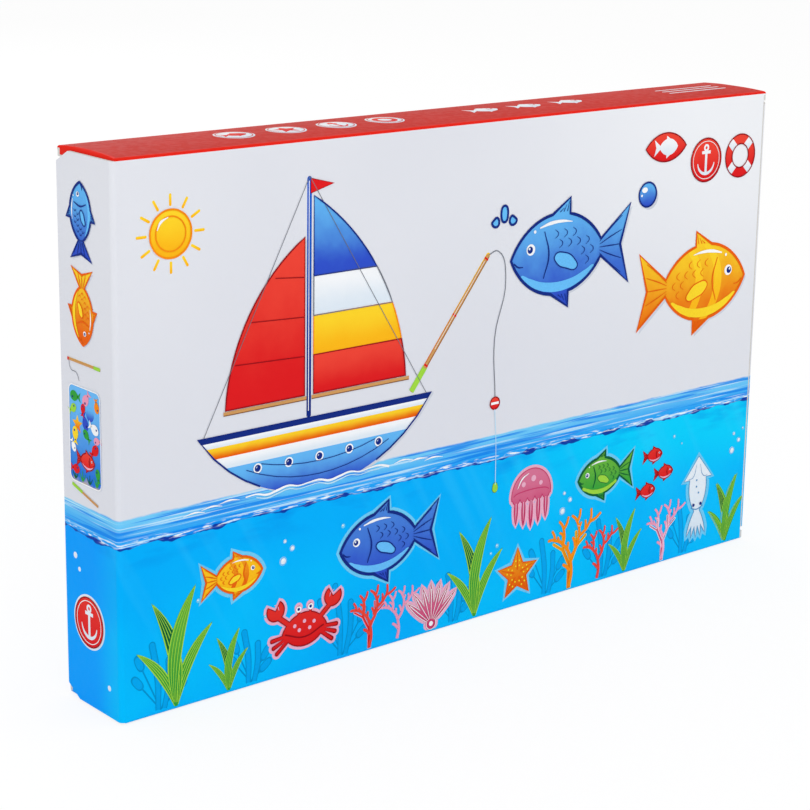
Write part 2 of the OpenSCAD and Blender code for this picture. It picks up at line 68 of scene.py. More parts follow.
MM = 0.001
HALF_L, HALF_D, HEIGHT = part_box("carton")[1]
SEA_LEVEL = (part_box("left_sea_print")[1].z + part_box("left_shallows_print")[0].z) / 2
SHALLOWS_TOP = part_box("left_sky_print")[0].z
HINGE = next(Vector(joint["pos_m"]) for joint in frame["joints"] if joint["child"] == "left_closure")

# Thicknesses and heights of the print, in millimetres over a panel's board
BOARD_T = 1.5
INK_T = 0.06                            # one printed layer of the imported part
FLAT_T = 20 * INK_T                     # a printed solid that is thicker than this runs round a fold
UNDER = 1.2 * INK_T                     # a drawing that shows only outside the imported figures
UNDER_INKS = ("shade", "teal", "lagoon", "mist", "rose")         # its inks, from the lowest
UNDER_STEP = 0.15 * INK_T
BETWEEN = 2.2 * INK_T                   # one that covers a first figure but not a second on it
OVER = 3.1 * INK_T                      # the lowest drawing over every packed figure
STEP = 0.1 * INK_T                      # from the drawing in one ink to that in the next
FLAT_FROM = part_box("green_print")[0].z / MM + 0.1      # lowest height on the front that no fold reaches
FACING = 0.9                            # cosine of the widest angle at which a face looks a panel's way

# What the camera was fitted to, in pixels of a square picture
PICTURE_W = 810
FOCAL = 2125.3
PRINCIPAL = (453.4, 334.3)
SENSOR_W = 36                           # in millimetres


def rgb(red, green, blue):
    """Linear colour of a printed one, given by its 0 to 255 values."""
    shares = (value / 255 for value in (red, green, blue))
    return tuple(((v + 0.055) / 1.055) ** 2.4 if v > 0.04045 else v / 12.92 for v in shares)


# Every ink of the drawings, from the one that lies lowest: its slot in the record and its colour
INKS = {
    "shade": ("sky_ink", rgb(206, 211, 222)),
    "mist": ("shallows_ink", rgb(112, 204, 244)),
    "rose": ("pink_ink", rgb(236, 176, 200)),
    "sky_blue": ("shallows_ink", rgb(104, 190, 248)),
    "steel": ("blue_ink", rgb(86, 148, 196)),
    "blue": ("blue_ink", rgb(24, 100, 214)),
    "ultramarine": ("blue_ink", rgb(48, 80, 200)),
    "pink": ("pink_ink", rgb(240, 156, 186)),
    "deep_pink": ("pink_ink", rgb(204, 60, 110)),
    "green": ("green_ink", rgb(52, 160, 60)),
    "dark_green": ("green_ink", rgb(14, 96, 54)),
    "lime": ("green_ink", rgb(158, 214, 66)),
    "teal": ("green_ink", rgb(0, 146, 208)),
    "lagoon": ("green_ink", rgb(0, 166, 236)),
    "yellow": ("yellow_ink", rgb(254, 216, 44)),
    "orange": ("orange_ink", rgb(248, 142, 18)),
    "deep_orange": ("orange_ink", rgb(234, 98, 12)),
    "amber": ("yellow_ink", rgb(252, 184, 24)),
    "scarlet": ("red_ink", rgb(240, 72, 56)),
    "wood": ("orange_ink", rgb(206, 152, 92)),
    "brown": ("orange_ink", rgb(126, 78, 40)),
    "red": ("red_ink", rgb(222, 28, 32)),
    "dark_red": ("red_ink", rgb(150, 14, 26)),
    "grey": ("board", rgb(112, 116, 126)),
    "white": ("white_ink", rgb(248, 249, 251)),
    "navy": ("navy_ink", rgb(20, 44, 128)),
    "glass": ("shallows_ink", rgb(190, 228, 248)),
    "pearl": ("white_ink", rgb(222, 233, 243)),
}

# Colours that don't lie on their own, but are mixed into the water, the small picture card and the board
WATER = {
    "band_low": rgb(20, 160, 246),
    "band_high": rgb(118, 206, 248),
    "furrow": rgb(0, 128, 236),
    "streak": rgb(196, 232, 252),
    "haze": rgb(0, 140, 232),
    "shaft": rgb(60, 204, 255),
    "waterline": rgb(10, 44, 156),
    "foam": rgb(240, 248, 252),
}
CARD = {
    "deep": rgb(24, 108, 214),
    "clear": rgb(108, 186, 246),
    "sand": rgb(222, 200, 150),
}
BOARD = {
    "dark": rgb(208, 207, 203),
    "light": rgb(220, 219, 216),
}


# Panels

class Panel:
    """A flat side of the carton. What is drawn on it is in millimetres, across, up and out of its board."""

    def __init__(self, body, origin, across, up):
        self.body = body
        self.out = Vector(across).cross(Vector(up))
        turned = Matrix((across, up, self.out)).transposed().to_4x4()
        self.matrix = Matrix.Translation(origin) @ turned @ Matrix.Scale(MM, 4)
        self.inverse = self.matrix.inverted()

    def faced_by(self, face):
        """Whether a face looks the way that the panel does."""
        return face.normal.dot(self.out) > FACING


PANELS = {
    "front": Panel("carton", (0, -HALF_D, 0), (1, 0, 0), (0, 0, 1)),
    "top": Panel("carton", (0, 0, 0), (1, 0, 0), (0, 1, 0)),
    "left": Panel("left_closure", (-HALF_L, 0, 0), (0, -1, 0), (0, 0, 1)),
    "right": Panel("right_closure", (HALF_L, 0, 0), (0, 1, 0), (0, 0, 1)),
}


# Shader nodes

def new_material(name, roughness, coat=0.0):
    """A material with one principled shader, and the coordinates that it is painted by."""
    material = bpy.data.materials.new(name)
    material.use_nodes = True
    tree = material.node_tree
    shader = tree.nodes["Principled BSDF"]
    shader.inputs["Roughness"].default_value = roughness
    shader.inputs["Coat Weight"].default_value = coat
    shader.inputs["Coat Roughness"].default_value = 0.25
    return material, tree, shader


def add(tree, kind, values=None, **settings):
    """Adds a node. Values fill its inputs by name or number: a constant, or a socket to link."""
    node = tree.nodes.new(kind)
    for key, value in settings.items():
        setattr(node, key, value)
    for key, value in (values or {}).items():
        if isinstance(value, bpy.types.NodeSocket):
            tree.links.new(value, node.inputs[key])
        else:
            node.inputs[key].default_value = value
    return node


def place_in(tree, attribute=None):
    """Where a point of the surface lies on the object at rest, in millimetres."""
    if attribute:
        place = add(tree, "ShaderNodeAttribute", attribute_name=attribute).outputs["Vector"]
    else:
        place = add(tree, "ShaderNodeTexCoord").outputs["Object"]
    return add(tree, "ShaderNodeVectorMath", {0: place, "Scale": 1 / MM}, operation="SCALE").outputs[0]


def maths(tree, operation, first, second=0.0):
    """A sum, product or the like of two values."""
    return add(tree, "ShaderNodeMath", {0: first, 1: second}, operation=operation).outputs[0]


def ramp(tree, value, low, high, start=0.0, end=1.0):
    """Start below low, end above high, with a smooth change between them."""
    sockets = {"Value": value, "From Min": low, "From Max": high, "To Min": start, "To Max": end}
    return add(tree, "ShaderNodeMapRange", sockets, interpolation_type="SMOOTHSTEP").outputs["Result"]


def noise(tree, place, scale, detail=2.0):
    """A cloudy value about 0.5 over the given coordinates."""
    sockets = {"Vector": place, "Scale": scale, "Detail": detail}
    return add(tree, "ShaderNodeTexNoise", sockets).outputs["Fac"]


def stretched(tree, along, up, length, height, shift=0.0):
    """Coordinates for a pattern whose marks are longer than they are high."""
    values = {
        "X": maths(tree, "DIVIDE", along, length),
        "Y": maths(tree, "DIVIDE", up, height),
        "Z": shift,
    }
    return add(tree, "ShaderNodeCombineXYZ", values).outputs[0]


def blend_colours(tree, share, first, second):
    """Mix of two colours by a share."""
    inks = [v if isinstance(v, bpy.types.NodeSocket) else (*v, 1) for v in (first, second)]
    return add(tree, "ShaderNodeMix", {0: share, 6: inks[0], 7: inks[1]}, data_type="RGBA").outputs[2]


def laminate(tree, shader, place, roughness):
    """The thin film over a print: a little uneven in gloss and, over a hand's width, in its face."""
    wide = noise(tree, place, 1 / 70, 1.0)
    fine = noise(tree, place, 1 / 3, 2.0)
    uneven = ramp(tree, fine, 0.3, 0.7, roughness - 0.04, roughness + 0.05)
    tree.links.new(uneven, shader.inputs["Roughness"])
    height = maths(tree, "ADD", wide, maths(tree, "MULTIPLY", fine, 0.004))
    bump = add(tree, "ShaderNodeBump", {"Strength": 0.35, "Distance": 0.5 * MM, "Height": height})
    tree.links.new(bump.outputs["Normal"], shader.inputs["Normal"])


def grained(tree, place, colour, depth=0.06):
    """A printed colour with the fine grain and the slow drift of real ink."""
    darker = tuple(c * (1 - depth) for c in colour)
    lighter = tuple(min(1, c * (1 + depth)) for c in colour)
    drift = maths(tree, "MULTIPLY", noise(tree, place, 1 / 45, 2.0), 0.6)
    grain = maths(tree, "MULTIPLY", noise(tree, place, 1 / 0.9, 1.0), 0.4)
    share = maths(tree, "ADD", drift, grain)
    return blend_colours(tree, ramp(tree, share, 0.3, 0.7), darker, lighter)


# Finishes

def board_finish(name="raw_board", bleed=False):
    """Unprinted greyish board with short fibres, for raw edges, dust flaps and the inside. Where the print
    bleeds over, its blue runs on round the lower folds to a little way under the carton."""
    material, tree, shader = new_material(name, 0.8)
    shader.inputs["Specular IOR Level"].default_value = 0.3
    place = place_in(tree)
    parts = add(tree, "ShaderNodeSeparateXYZ", {0: place})
    along = maths(tree, "ADD", parts.outputs["X"], parts.outputs["Y"])
    fibres = noise(tree, stretched(tree, along, parts.outputs["Z"], 2.2, 0.8), 1.0, 4.0)
    clouds = noise(tree, place, 1 / 25, 3.0)
    share = maths(tree, "MULTIPLY", maths(tree, "ADD", fibres, clouds), 0.5)
    colour = blend_colours(tree, ramp(tree, share, 0.3, 0.7), BOARD["dark"], BOARD["light"])
    if bleed:
        inner_edge = HALF_D / MM - 4
        low = ramp(tree, parts.outputs["Z"], 0.7, 0.8, 1.0, 0.0)
        off_middle = maths(tree, "ABSOLUTE", parts.outputs["Y"])
        outer = ramp(tree, off_middle, inner_edge, inner_edge + 0.2)
        colour = blend_colours(tree, maths(tree, "MULTIPLY", low, outer), colour, INKS["blue"][1])
    tree.links.new(colour, shader.inputs["Base Color"])
    bump = add(tree, "ShaderNodeBump", {"Strength": 0.3, "Distance": 0.1 * MM, "Height": fibres})
    tree.links.new(bump.outputs["Normal"], shader.inputs["Normal"])
    return material


def printed(name, paint, attribute=None):
    """A laminated print, made once and shared. A function of the tree and the place gives its colour."""
    made = bpy.data.materials.get(name)
    if made:
        return made
    look = bpy.context.scene.carton_print
    material, tree, shader = new_material(name, look.gloss_roughness, look.film)
    shader.inputs["Specular IOR Level"].default_value = look.shine
    place = place_in(tree, attribute)
    tree.links.new(paint(tree, place), shader.inputs["Base Color"])
    laminate(tree, shader, place, look.gloss_roughness)
    return material


def scenery(tree, place):
    """White sky over rippled water and a clear blue sea, painted by height round the whole carton."""
    parts = add(tree, "ShaderNodeSeparateXYZ", {0: place})
    along = maths(tree, "SUBTRACT", parts.outputs["X"], parts.outputs["Y"])
    height = parts.outputs["Z"]
    swell = noise(tree, stretched(tree, along, height, 34, 60), 1.0, 1.0)
    chop = noise(tree, stretched(tree, along, height, 9, 60, 3.1), 1.0, 3.0)
    rise = maths(tree, "ADD", maths(tree, "MULTIPLY", swell, 3.2), maths(tree, "MULTIPLY", chop, 2.4))
    level = maths(tree, "SUBTRACT", height, maths(tree, "SUBTRACT", rise, 2.8))
    in_ripples = ramp(tree, level, SEA_LEVEL / MM - 0.4, SEA_LEVEL / MM + 0.4)
    sea = sea_colour(tree, place, along, height)
    ripples = ripple_colour(tree, along, height)
    water = waterline(tree, along, height, level, blend_colours(tree, in_ripples, sea, ripples))
    edge = maths(tree, "SUBTRACT", height, maths(tree, "MULTIPLY", chop, 1.4))
    in_sky = ramp(tree, edge, SHALLOWS_TOP / MM - 1.9, SHALLOWS_TOP / MM - 0.9)
    return blend_colours(tree, in_sky, water, sky_colour(tree, place, along, height))


def sky_colour(tree, place, along, height):
    """Faintly blue white, which grows brighter towards the top and the right."""
    look = bpy.context.scene.carton_print
    tall = ramp(tree, height, SHALLOWS_TOP / MM, HEIGHT / MM, 0.25, 1.0)
    drift = maths(tree, "MULTIPLY", noise(tree, place, 1 / 90, 1.0), 0.5)
    bright = maths(tree, "ADD", drift, ramp(tree, along, 0, HALF_L / MM, 0.0, 0.75))
    share = maths(tree, "MULTIPLY", tall, bright)
    return blend_colours(tree, share, tuple(look.sky_low), tuple(look.sky_high))


def ripple_colour(tree, along, height):
    """The band of the water's surface: pale above and deeper below, with long blue and white streaks."""
    rising = ramp(tree, height, SEA_LEVEL / MM, SHALLOWS_TOP / MM)
    band = blend_colours(tree, rising, WATER["band_low"], WATER["band_high"])
    furrows = noise(tree, stretched(tree, along, height, 52, 1.7, 7.7), 1.0, 2.0)
    band = blend_colours(tree, ramp(tree, furrows, 0.5, 0.62, 0.0, 0.8), band, WATER["furrow"])
    streaks = noise(tree, stretched(tree, along, height, 60, 1.1), 1.0, 2.0)
    return blend_colours(tree, ramp(tree, streaks, 0.54, 0.66, 0.0, 0.85), band, WATER["streak"])


def sea_colour(tree, place, along, height):
    """Clear blue that drifts, sunlit near the surface at the right and deeper round the left end, with a
    darker haze under the surface and faint shafts of light."""
    look = bpy.context.scene.carton_print
    sea = SEA_LEVEL / MM
    drift = ramp(tree, noise(tree, place, 1 / 55, 2.0), 0.3, 0.75)
    colour = blend_colours(tree, drift, tuple(look.sea_deep), tuple(look.sea_clear))
    to_right = ramp(tree, along, -0.1 * HALF_L / MM, 0.75 * HALF_L / MM)
    near_light = blend_colours(tree, to_right, tuple(look.sea_shaded), tuple(look.sea_sunlit))
    colour = blend_colours(tree, ramp(tree, height, 0.4 * sea, 0.9 * sea, 0.0, 0.8), colour, near_light)
    near_top = ramp(tree, height, sea - 16, sea)
    haze = noise(tree, stretched(tree, along, height, 26, 7, 1.3), 1.0, 3.0)
    haze = maths(tree, "MULTIPLY", near_top, ramp(tree, haze, 0.45, 0.7, 0.0, 0.6))
    colour = blend_colours(tree, haze, colour, WATER["haze"])
    lean = maths(tree, "ADD", along, maths(tree, "MULTIPLY", height, 0.55))
    shafts = noise(tree, stretched(tree, lean, height, 11, 400, 5.5), 1.0, 1.0)
    glow = maths(tree, "MULTIPLY", ramp(tree, height, 10, sea), ramp(tree, shafts, 0.5, 0.75, 0.0, 0.2))
    colour = blend_colours(tree, glow, colour, WATER["shaft"])
    on_end = ramp(tree, along, -HALF_L / MM, (HALF_D - HALF_L) / MM, 0.8, 0.0)
    return blend_colours(tree, on_end, colour, tuple(look.sea_end))


def waterline(tree, along, height, level, water):
    """Broken dark strokes along the edge between surface and sea, with flecks of foam over them."""
    sea = SEA_LEVEL / MM
    patches = noise(tree, stretched(tree, along, height, 13, 40, 11.0), 1.0, 2.0)
    half_width = ramp(tree, patches, 0.44, 0.66, 0.12, 1.5)
    off_line = maths(tree, "ABSOLUTE", maths(tree, "SUBTRACT", level, sea))
    dark = ramp(tree, maths(tree, "SUBTRACT", half_width, off_line), -0.25, 0.35, 0.0, 0.95)
    water = blend_colours(tree, dark, water, WATER["waterline"])
    flecks = noise(tree, stretched(tree, along, height, 7, 0.9, 23.0), 1.0, 3.0)
    off_foam = maths(tree, "ABSOLUTE", maths(tree, "SUBTRACT", level, sea + 1.3))
    on_foam = ramp(tree, off_foam, 0.3, 1.7, 1.0, 0.0)
    foam = maths(tree, "MULTIPLY", on_foam, ramp(tree, flecks, 0.5, 0.62))
    return blend_colours(tree, foam, water, WATER["foam"])


def top_red(tree, place):
    """Red of the top panel, with a painted highlight of brighter red over the folds round it."""
    look = bpy.context.scene.carton_print
    parts = add(tree, "ShaderNodeSeparateXYZ", {0: place})
    # masks of the rounded folds round the top, where a brighter red is painted as a highlight
    side = ramp(tree, maths(tree, "ABSOLUTE", parts.outputs["Y"]), HALF_D / MM - 3.2, HALF_D / MM - 1.0)
    end = ramp(tree, maths(tree, "ABSOLUTE", parts.outputs["X"]), HALF_L / MM - 4.5, HALF_L / MM - 2.6)
    field = grained(tree, place, tuple(look.top_red))
    return blend_colours(tree, maths(tree, "MAXIMUM", side, end), field, tuple(look.painted_fold_highlight))


def card_water(tree, place):
    """The small picture on a closure: clear water over a sandy floor, in a soft light from above."""
    low, high = card_span()
    parts = add(tree, "ShaderNodeSeparateXYZ", {0: place})
    waves = maths(tree, "MULTIPLY", noise(tree, place, 1 / 5, 2.0), 6)
    height = maths(tree, "ADD", parts.outputs["Z"], waves)
    water = blend_colours(tree, ramp(tree, height, low, high), CARD["deep"], CARD["clear"])
    return blend_colours(tree, ramp(tree, height, low + 2, low + 5, 0.8, 0.0), water, CARD["sand"])


def card_span():
    """Lower and upper edge of the picture card on the left closure, in millimetres."""
    card = min(figures("left_shallows_print", "left"), key=lambda f: f.size.x)
    return card.low.y, card.high.y


def flat_ink(ink):
    """A paint of one ink with its grain."""
    return lambda tree, place: grained(tree, place, INKS[ink][1])


def shaded_ink(deep, pale):
    """A paint that grows paler towards a figure's head, less so in the sea than in the sky."""
    def paint(tree, place):
        """Mixes the two inks by where a point lies in its figure."""
        share = add(tree, "ShaderNodeAttribute", attribute_name="share").outputs["Vector"]
        parts = add(tree, "ShaderNodeSeparateXYZ", {0: share})
        wander = maths(tree, "MULTIPLY", noise(tree, place, 1 / 9, 2.0), 0.3)
        rise = ramp(tree, maths(tree, "ADD", parts.outputs["Y"], wander), 0.2, 1.1)
        strength = ramp(tree, parts.outputs["Z"], 0.0, 1.0, 0.35, 0.9)
        return blend_colours(tree, maths(tree, "MULTIPLY", rise, strength), INKS[deep][1], INKS[pale][1])
    return paint


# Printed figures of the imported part

class Figure:
    """One printed figure, seen flat on its panel. Its own marks are placed about its middle."""

    def __init__(self, points, loops):
        self.low = Vector((min(p.x for p in points), min(p.y for p in points)))
        self.high = Vector((max(p.x for p in points), max(p.y for p in points)))
        self.size = self.high - self.low
        self.centre = (self.low + self.high) / 2
        self.loops = loops
        self.unit = self.size.x
        self.turn = 0
        self.flip = 1

    def posed(self, unit, flip=1, turn=0, centre=None):
        """Sets the length that marks are shares of, which way they face, and how far they are turned."""
        self.unit, self.flip, self.turn = unit, flip, turn
        self.centre = Vector(centre) if centre else self.centre
        return self

    def marks(self, *points):
        """Places on the panel for points in shares of the unit. A third value, a width, passes through."""
        turned = Matrix.Rotation(math.radians(self.turn), 2)
        placed = []
        for x, y, *width in points:
            spot = self.centre + turned @ Vector((x * self.flip, y)) * self.unit
            placed.append((spot.x, spot.y, *width))
        return placed

    def mark(self, x, y):
        """One such place."""
        return self.marks((x, y))[0]


def islands(mesh):
    """The faces of each separate solid in a mesh."""
    found, seen = [], set()
    for face in mesh.faces:
        if face in seen:
            continue
        group, waiting = [], [face]
        seen.add(face)
        while waiting:
            here = waiting.pop()
            group.append(here)
            near = {other for edge in here.edges for other in edge.link_faces} - seen
            seen |= near
            waiting.extend(near)
        found.append(group)
    return found


def rim_loops(faces, panel):
    """The outlines of the outward faces of a printed solid, as lists of places on its panel."""
    shown = {face for face in faces if panel.faced_by(face)}
    edges = {edge for face in shown for edge in face.edges}
    rims = {edge for edge in edges if sum(face in shown for face in edge.link_faces) == 1}
    loops = []
    while rims:
        edge = rims.pop()
        start, here = edge.verts
        loop = [start, here]
        while here is not start:
            following = next((e for e in here.link_edges if e in rims), None)
            if following is None:
                break
            rims.discard(following)
            here = following.other_vert(here)
            loop.append(here)
        loops.append([(panel.inverse @ v.co).to_2d() for v in loop[:-1]])
    return sorted(loops, key=len, reverse=True)


def welded(node):
    """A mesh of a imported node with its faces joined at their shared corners."""
    mesh = bmesh.new()
    mesh.from_mesh(frame["nodes"][node].data)
    bmesh.ops.remove_doubles(mesh, verts=mesh.verts, dist=0.002 * MM)
    return mesh


FOUND = {}                              # the figures found so far, by node and panel


def figures(node, side):
    """Every figure of a printed node that lies on a panel."""
    if (node, side) not in FOUND:
        panel = PANELS[side]
        mesh = welded(node)
        FOUND[node, side] = []
        for faces in islands(mesh):
            points = [panel.inverse @ v.co for f in faces for v in f.verts]
            thick = max(p.z for p in points) - min(p.z for p in points)
            if thick < FLAT_T and any(panel.faced_by(face) for face in faces):
                FOUND[node, side].append(Figure(points, rim_loops(faces, panel)))
        mesh.free()
    return FOUND[node, side]


def figure(node, side, across, up):
    """The figure nearest to a place on its panel."""
    found = figures(node, side)
    if not found:
        raise RuntimeError(f"{node} has no figure on the {side} panel")
    return min(found, key=lambda f: (f.centre - Vector((across, up))).length)


# Drawing

class Drawing:
    """Lines and shapes in one ink, all at one height over a panel's board."""

    def __init__(self, height):
        self.height = height
        self.mesh = bmesh.new()
        self.curve = None
        self.widest = 0

    def line(self, points, width, closed=False, smooth=True):
        """A flat line through points, each with an optional share of the width."""
        if self.curve is None:
            self.curve = bpy.data.curves.new("lines", "CURVE")
            self.curve.dimensions = "3D"
            self.curve.bevel_depth = 1               # the knots' radii are then half widths
            self.curve.bevel_resolution = 0
            self.curve.resolution_u = 6
            self.curve.use_fill_caps = True
        self.widest = max(self.widest, width / 2)
        add_spline(self.curve, points, width / 2, closed, smooth)

    def shape(self, points, smooth=True, holes=()):
        """A filled shape inside a closed outline."""
        curve = bpy.data.curves.new("shape", "CURVE")
        curve.dimensions = "2D"
        curve.fill_mode = "BOTH"
        curve.extrude = STEP / 3
        curve.resolution_u = 8
        for outline in (points, *holes):
            add_spline(curve, outline, 1, True, smooth)
        self.take(curve, 1)

    def disc(self, centre, radius, squeeze=1.0):
        """A round spot, or an oval one if squeezed in height."""
        self.shape(round_points(centre, radius, 8, squeeze))

    def ring(self, centre, radius, width):
        """A round line."""
        self.line(round_points(centre, radius, 12), width, closed=True)

    def contour(self, seen, width, lowest=-math.inf):
        """A line along every outline of a figure, nowhere below the lowest height."""
        for loop in seen.loops:
            points = [(p.x, max(p.y, lowest + width / 2)) for p in loop]
            self.line(points, width, closed=True, smooth=False)

    def take(self, curve, squash):
        """Turns a curve into part of the mesh, squashed to a share of its thickness."""
        holder = bpy.data.objects.new("holder", curve)
        made = bpy.data.meshes.new_from_object(holder)
        made.transform(Matrix.Translation((0, 0, self.height)) @ Matrix.Diagonal((1, 1, squash, 1)))
        self.mesh.from_mesh(made)
        bpy.data.meshes.remove(made)
        bpy.data.objects.remove(holder)
        bpy.data.curves.remove(curve)

    def finished(self):
        """The clean mesh of all that was drawn."""
        if self.curve is not None:
            self.take(self.curve, STEP / 2 / self.widest)
        bmesh.ops.remove_doubles(self.mesh, verts=self.mesh.verts, dist=STEP / 20)
        loose = [v for v in self.mesh.verts if not v.link_faces]
        bmesh.ops.delete(self.mesh, geom=loose, context="VERTS")
        bmesh.ops.recalc_face_normals(self.mesh, faces=self.mesh.faces)
        for face in self.mesh.faces:
            face.smooth = False
        return self.mesh


def round_points(centre, radius, count, squeeze=1.0):
    """Points round a circle, or round an oval if it is squeezed in height."""
    turns = [math.tau * i / count for i in range(count)]
    return [(centre[0] + radius * math.sin(t), centre[1] + squeeze * radius * math.cos(t)) for t in turns]


def add_spline(curve, points, half_width, closed, smooth):
    """A smooth or straight spline through points on a flat curve."""
    spline = curve.splines.new("BEZIER" if smooth else "POLY")
    knots = spline.bezier_points if smooth else spline.points
    knots.add(len(points) - 1)
    for knot, point in zip(knots, points):
        knot.co = (point[0], point[1], 0) if smooth else (point[0], point[1], 0, 1)
        knot.radius = half_width * (point[2] if len(point) > 2 else 1)
        if smooth:
            knot.handle_left_type = "AUTO"
            knot.handle_right_type = "AUTO"
    spline.use_cyclic_u = closed


class Pad:
    """All that is drawn on one panel in one step. Each ink is one piece, a little over the ink before it."""

    def __init__(self, side, name):
        self.side = side
        self.name = name
        self.drawings = {}

    def __getitem__(self, ink):
        """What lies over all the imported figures."""
        return self.at("lines", ink, OVER + STEP * list(INKS).index(ink))

    def under(self, ink):
        """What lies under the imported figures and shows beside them."""
        return self.at("halo", ink, UNDER + UNDER_STEP * UNDER_INKS.index(ink))

    def between(self, ink):
        """What covers a packed figure, but not the figures on it."""
        return self.at("cover", ink, BETWEEN)

    def at(self, layer, ink, height):
        """The drawing in one ink of one layer, begun when it is first asked for."""
        key = (layer, ink)
        if key not in self.drawings:
            self.drawings[key] = Drawing(height)
        return self.drawings[key]

    def finish(self, covers=None):
        """Makes one piece of each ink, in place on the panel. Covers may have a material of their own."""
        panel = PANELS[self.side]
        for (layer, ink), drawing in self.drawings.items():
            mesh = drawing.finished()
            if self.side == "top":
                for vert in mesh.verts:
                    vert.co.z += crown_height(vert.co.x, vert.co.y) - OVER + STEP
            bmesh.ops.transform(mesh, matrix=panel.matrix, verts=mesh.verts)
            material = covers if layer == "cover" and covers else printed("ink_" + ink, flat_ink(ink))
            piece = new_piece("_".join((self.name, ink, layer)), mesh, material, INKS[ink][0])
            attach(piece, panel.body)


TOP_SURFACE = []                        # the printed top's surface, once it has been asked for


def crown_height(across, along):
    """Height of the printed top panel at a place on it."""
    if not TOP_SURFACE:
        mesh = bmesh.new()
        for node in ("top_print", "white_print", "red_print"):
            mesh.from_mesh(frame["nodes"][node].data)
        TOP_SURFACE.append(BVHTree.FromBMesh(mesh))
        mesh.free()
    down = Vector((0, 0, -1))
    hit = TOP_SURFACE[0].ray_cast(Vector((across, along, 0)) * MM + Vector((0, 0, 2 * HEIGHT)), down)
    return hit[0].z / MM


def new_piece(name, mesh, material, slot):
    """An object of its own from a mesh under work, which is then freed."""
    data = bpy.data.meshes.new(name)
    mesh.to_mesh(data)
    mesh.free()
    data.materials.append(material)
    piece = bpy.data.objects.new(name, data)
    bpy.context.scene.collection.objects.link(piece)
    return piece


def shaded_copy(node, sides, material):
    """Stands for a printed node with the same solids, which also know where they lie within each figure.
    The third value is 1 on a figure in the sky and 0 on one in the sea."""
    mesh = welded(node)
    share = mesh.verts.layers.float_vector.new("share")
    for faces in islands(mesh):
        verts = {v for f in faces for v in f.verts}
        side = max(sides, key=lambda s: sum(f.calc_area() for f in faces if PANELS[s].faced_by(f)))
        flat = {v: PANELS[side].inverse @ v.co for v in verts}
        low = Vector((min(p.x for p in flat.values()), min(p.y for p in flat.values())))
        high = Vector((max(p.x for p in flat.values()), max(p.y for p in flat.values())))
        size = high - low
        aloft = 1 if side == "top" or high.y > (SHALLOWS_TOP + SEA_LEVEL) / 2 / MM else 0
        for vert, point in flat.items():
            vert[share] = ((point.x - low.x) / size.x, (point.y - low.y) / size.y, aloft)
    slot = next(part["material_slot"] for part in frame["record"]["subparts"] if part["node"] == node)
    piece = new_piece(node.replace("_print", "_figures"), mesh, material, slot)
    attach(piece, PANELS[sides[0]].body)
    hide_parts(node)


# Settings

class CartonPrintSettings(bpy.types.PropertyGroup):
    """Colours and gloss of the laminated print."""

    gloss_roughness: FloatProperty(
        name="Film roughness", description="Roughness of the film over the print", default=0.45,
        min=0.05, max=1)
    film: FloatProperty(
        name="Film", description="How much of a clear coat the film adds", default=0.0, min=0, max=1)
    shine: FloatProperty(
        name="Shine", description="Strength of the film's mirror reflection", default=0.03, min=0, max=1)
    sky_low: FloatVectorProperty(
        name="Sky at the water", description="White of the print above the water", subtype="COLOR",
        default=rgb(220, 222, 230))
    sky_high: FloatVectorProperty(
        name="Sky at the top", description="White of the print at the top", subtype="COLOR",
        default=rgb(240, 242, 246))
    sea_clear: FloatVectorProperty(
        name="Clear sea", description="Bright blue of the open sea", subtype="COLOR",
        default=rgb(0, 194, 255))
    sea_deep: FloatVectorProperty(
        name="Deep sea", description="Deeper blue drifting through the sea", subtype="COLOR",
        default=rgb(0, 178, 252))
    sea_shaded: FloatVectorProperty(
        name="Shaded sea", description="Blue under the surface at the left", subtype="COLOR",
        default=rgb(0, 174, 252))
    sea_sunlit: FloatVectorProperty(
        name="Sunlit sea", description="Blue under the surface at the right", subtype="COLOR",
        default=rgb(0, 216, 255))
    sea_end: FloatVectorProperty(
        name="Sea on the left end", description="Blue of the sea where it runs on round the left end",
        subtype="COLOR", default=rgb(0, 152, 255))
    top_red: FloatVectorProperty(
        name="Top red", description="Red of the top panel", subtype="COLOR", default=rgb(202, 38, 26))
    # a brighter red painted over the folds round the top, as a highlight where their rounding catches the light
    painted_fold_highlight: FloatVectorProperty(
        name="Fold red", description="Red over the folds round the top", subtype="COLOR",
        default=rgb(230, 36, 22))


class CartonDrawingSettings(bpy.types.PropertyGroup):
    """Widths of the drawn lines, in millimetres."""

    bold: FloatProperty(
        name="Bold line", description="Width of the dark outline of a large figure, in mm", default=1.5,
        min=0)
    fine: FloatProperty(
        name="Fine line", description="Width of the marks within a figure, in mm", default=0.6, min=0)
    halo: FloatProperty(
        name="Halo", description="Width of the line under a figure in the sea, half of it hidden, in mm",
        default=4.6, min=0)


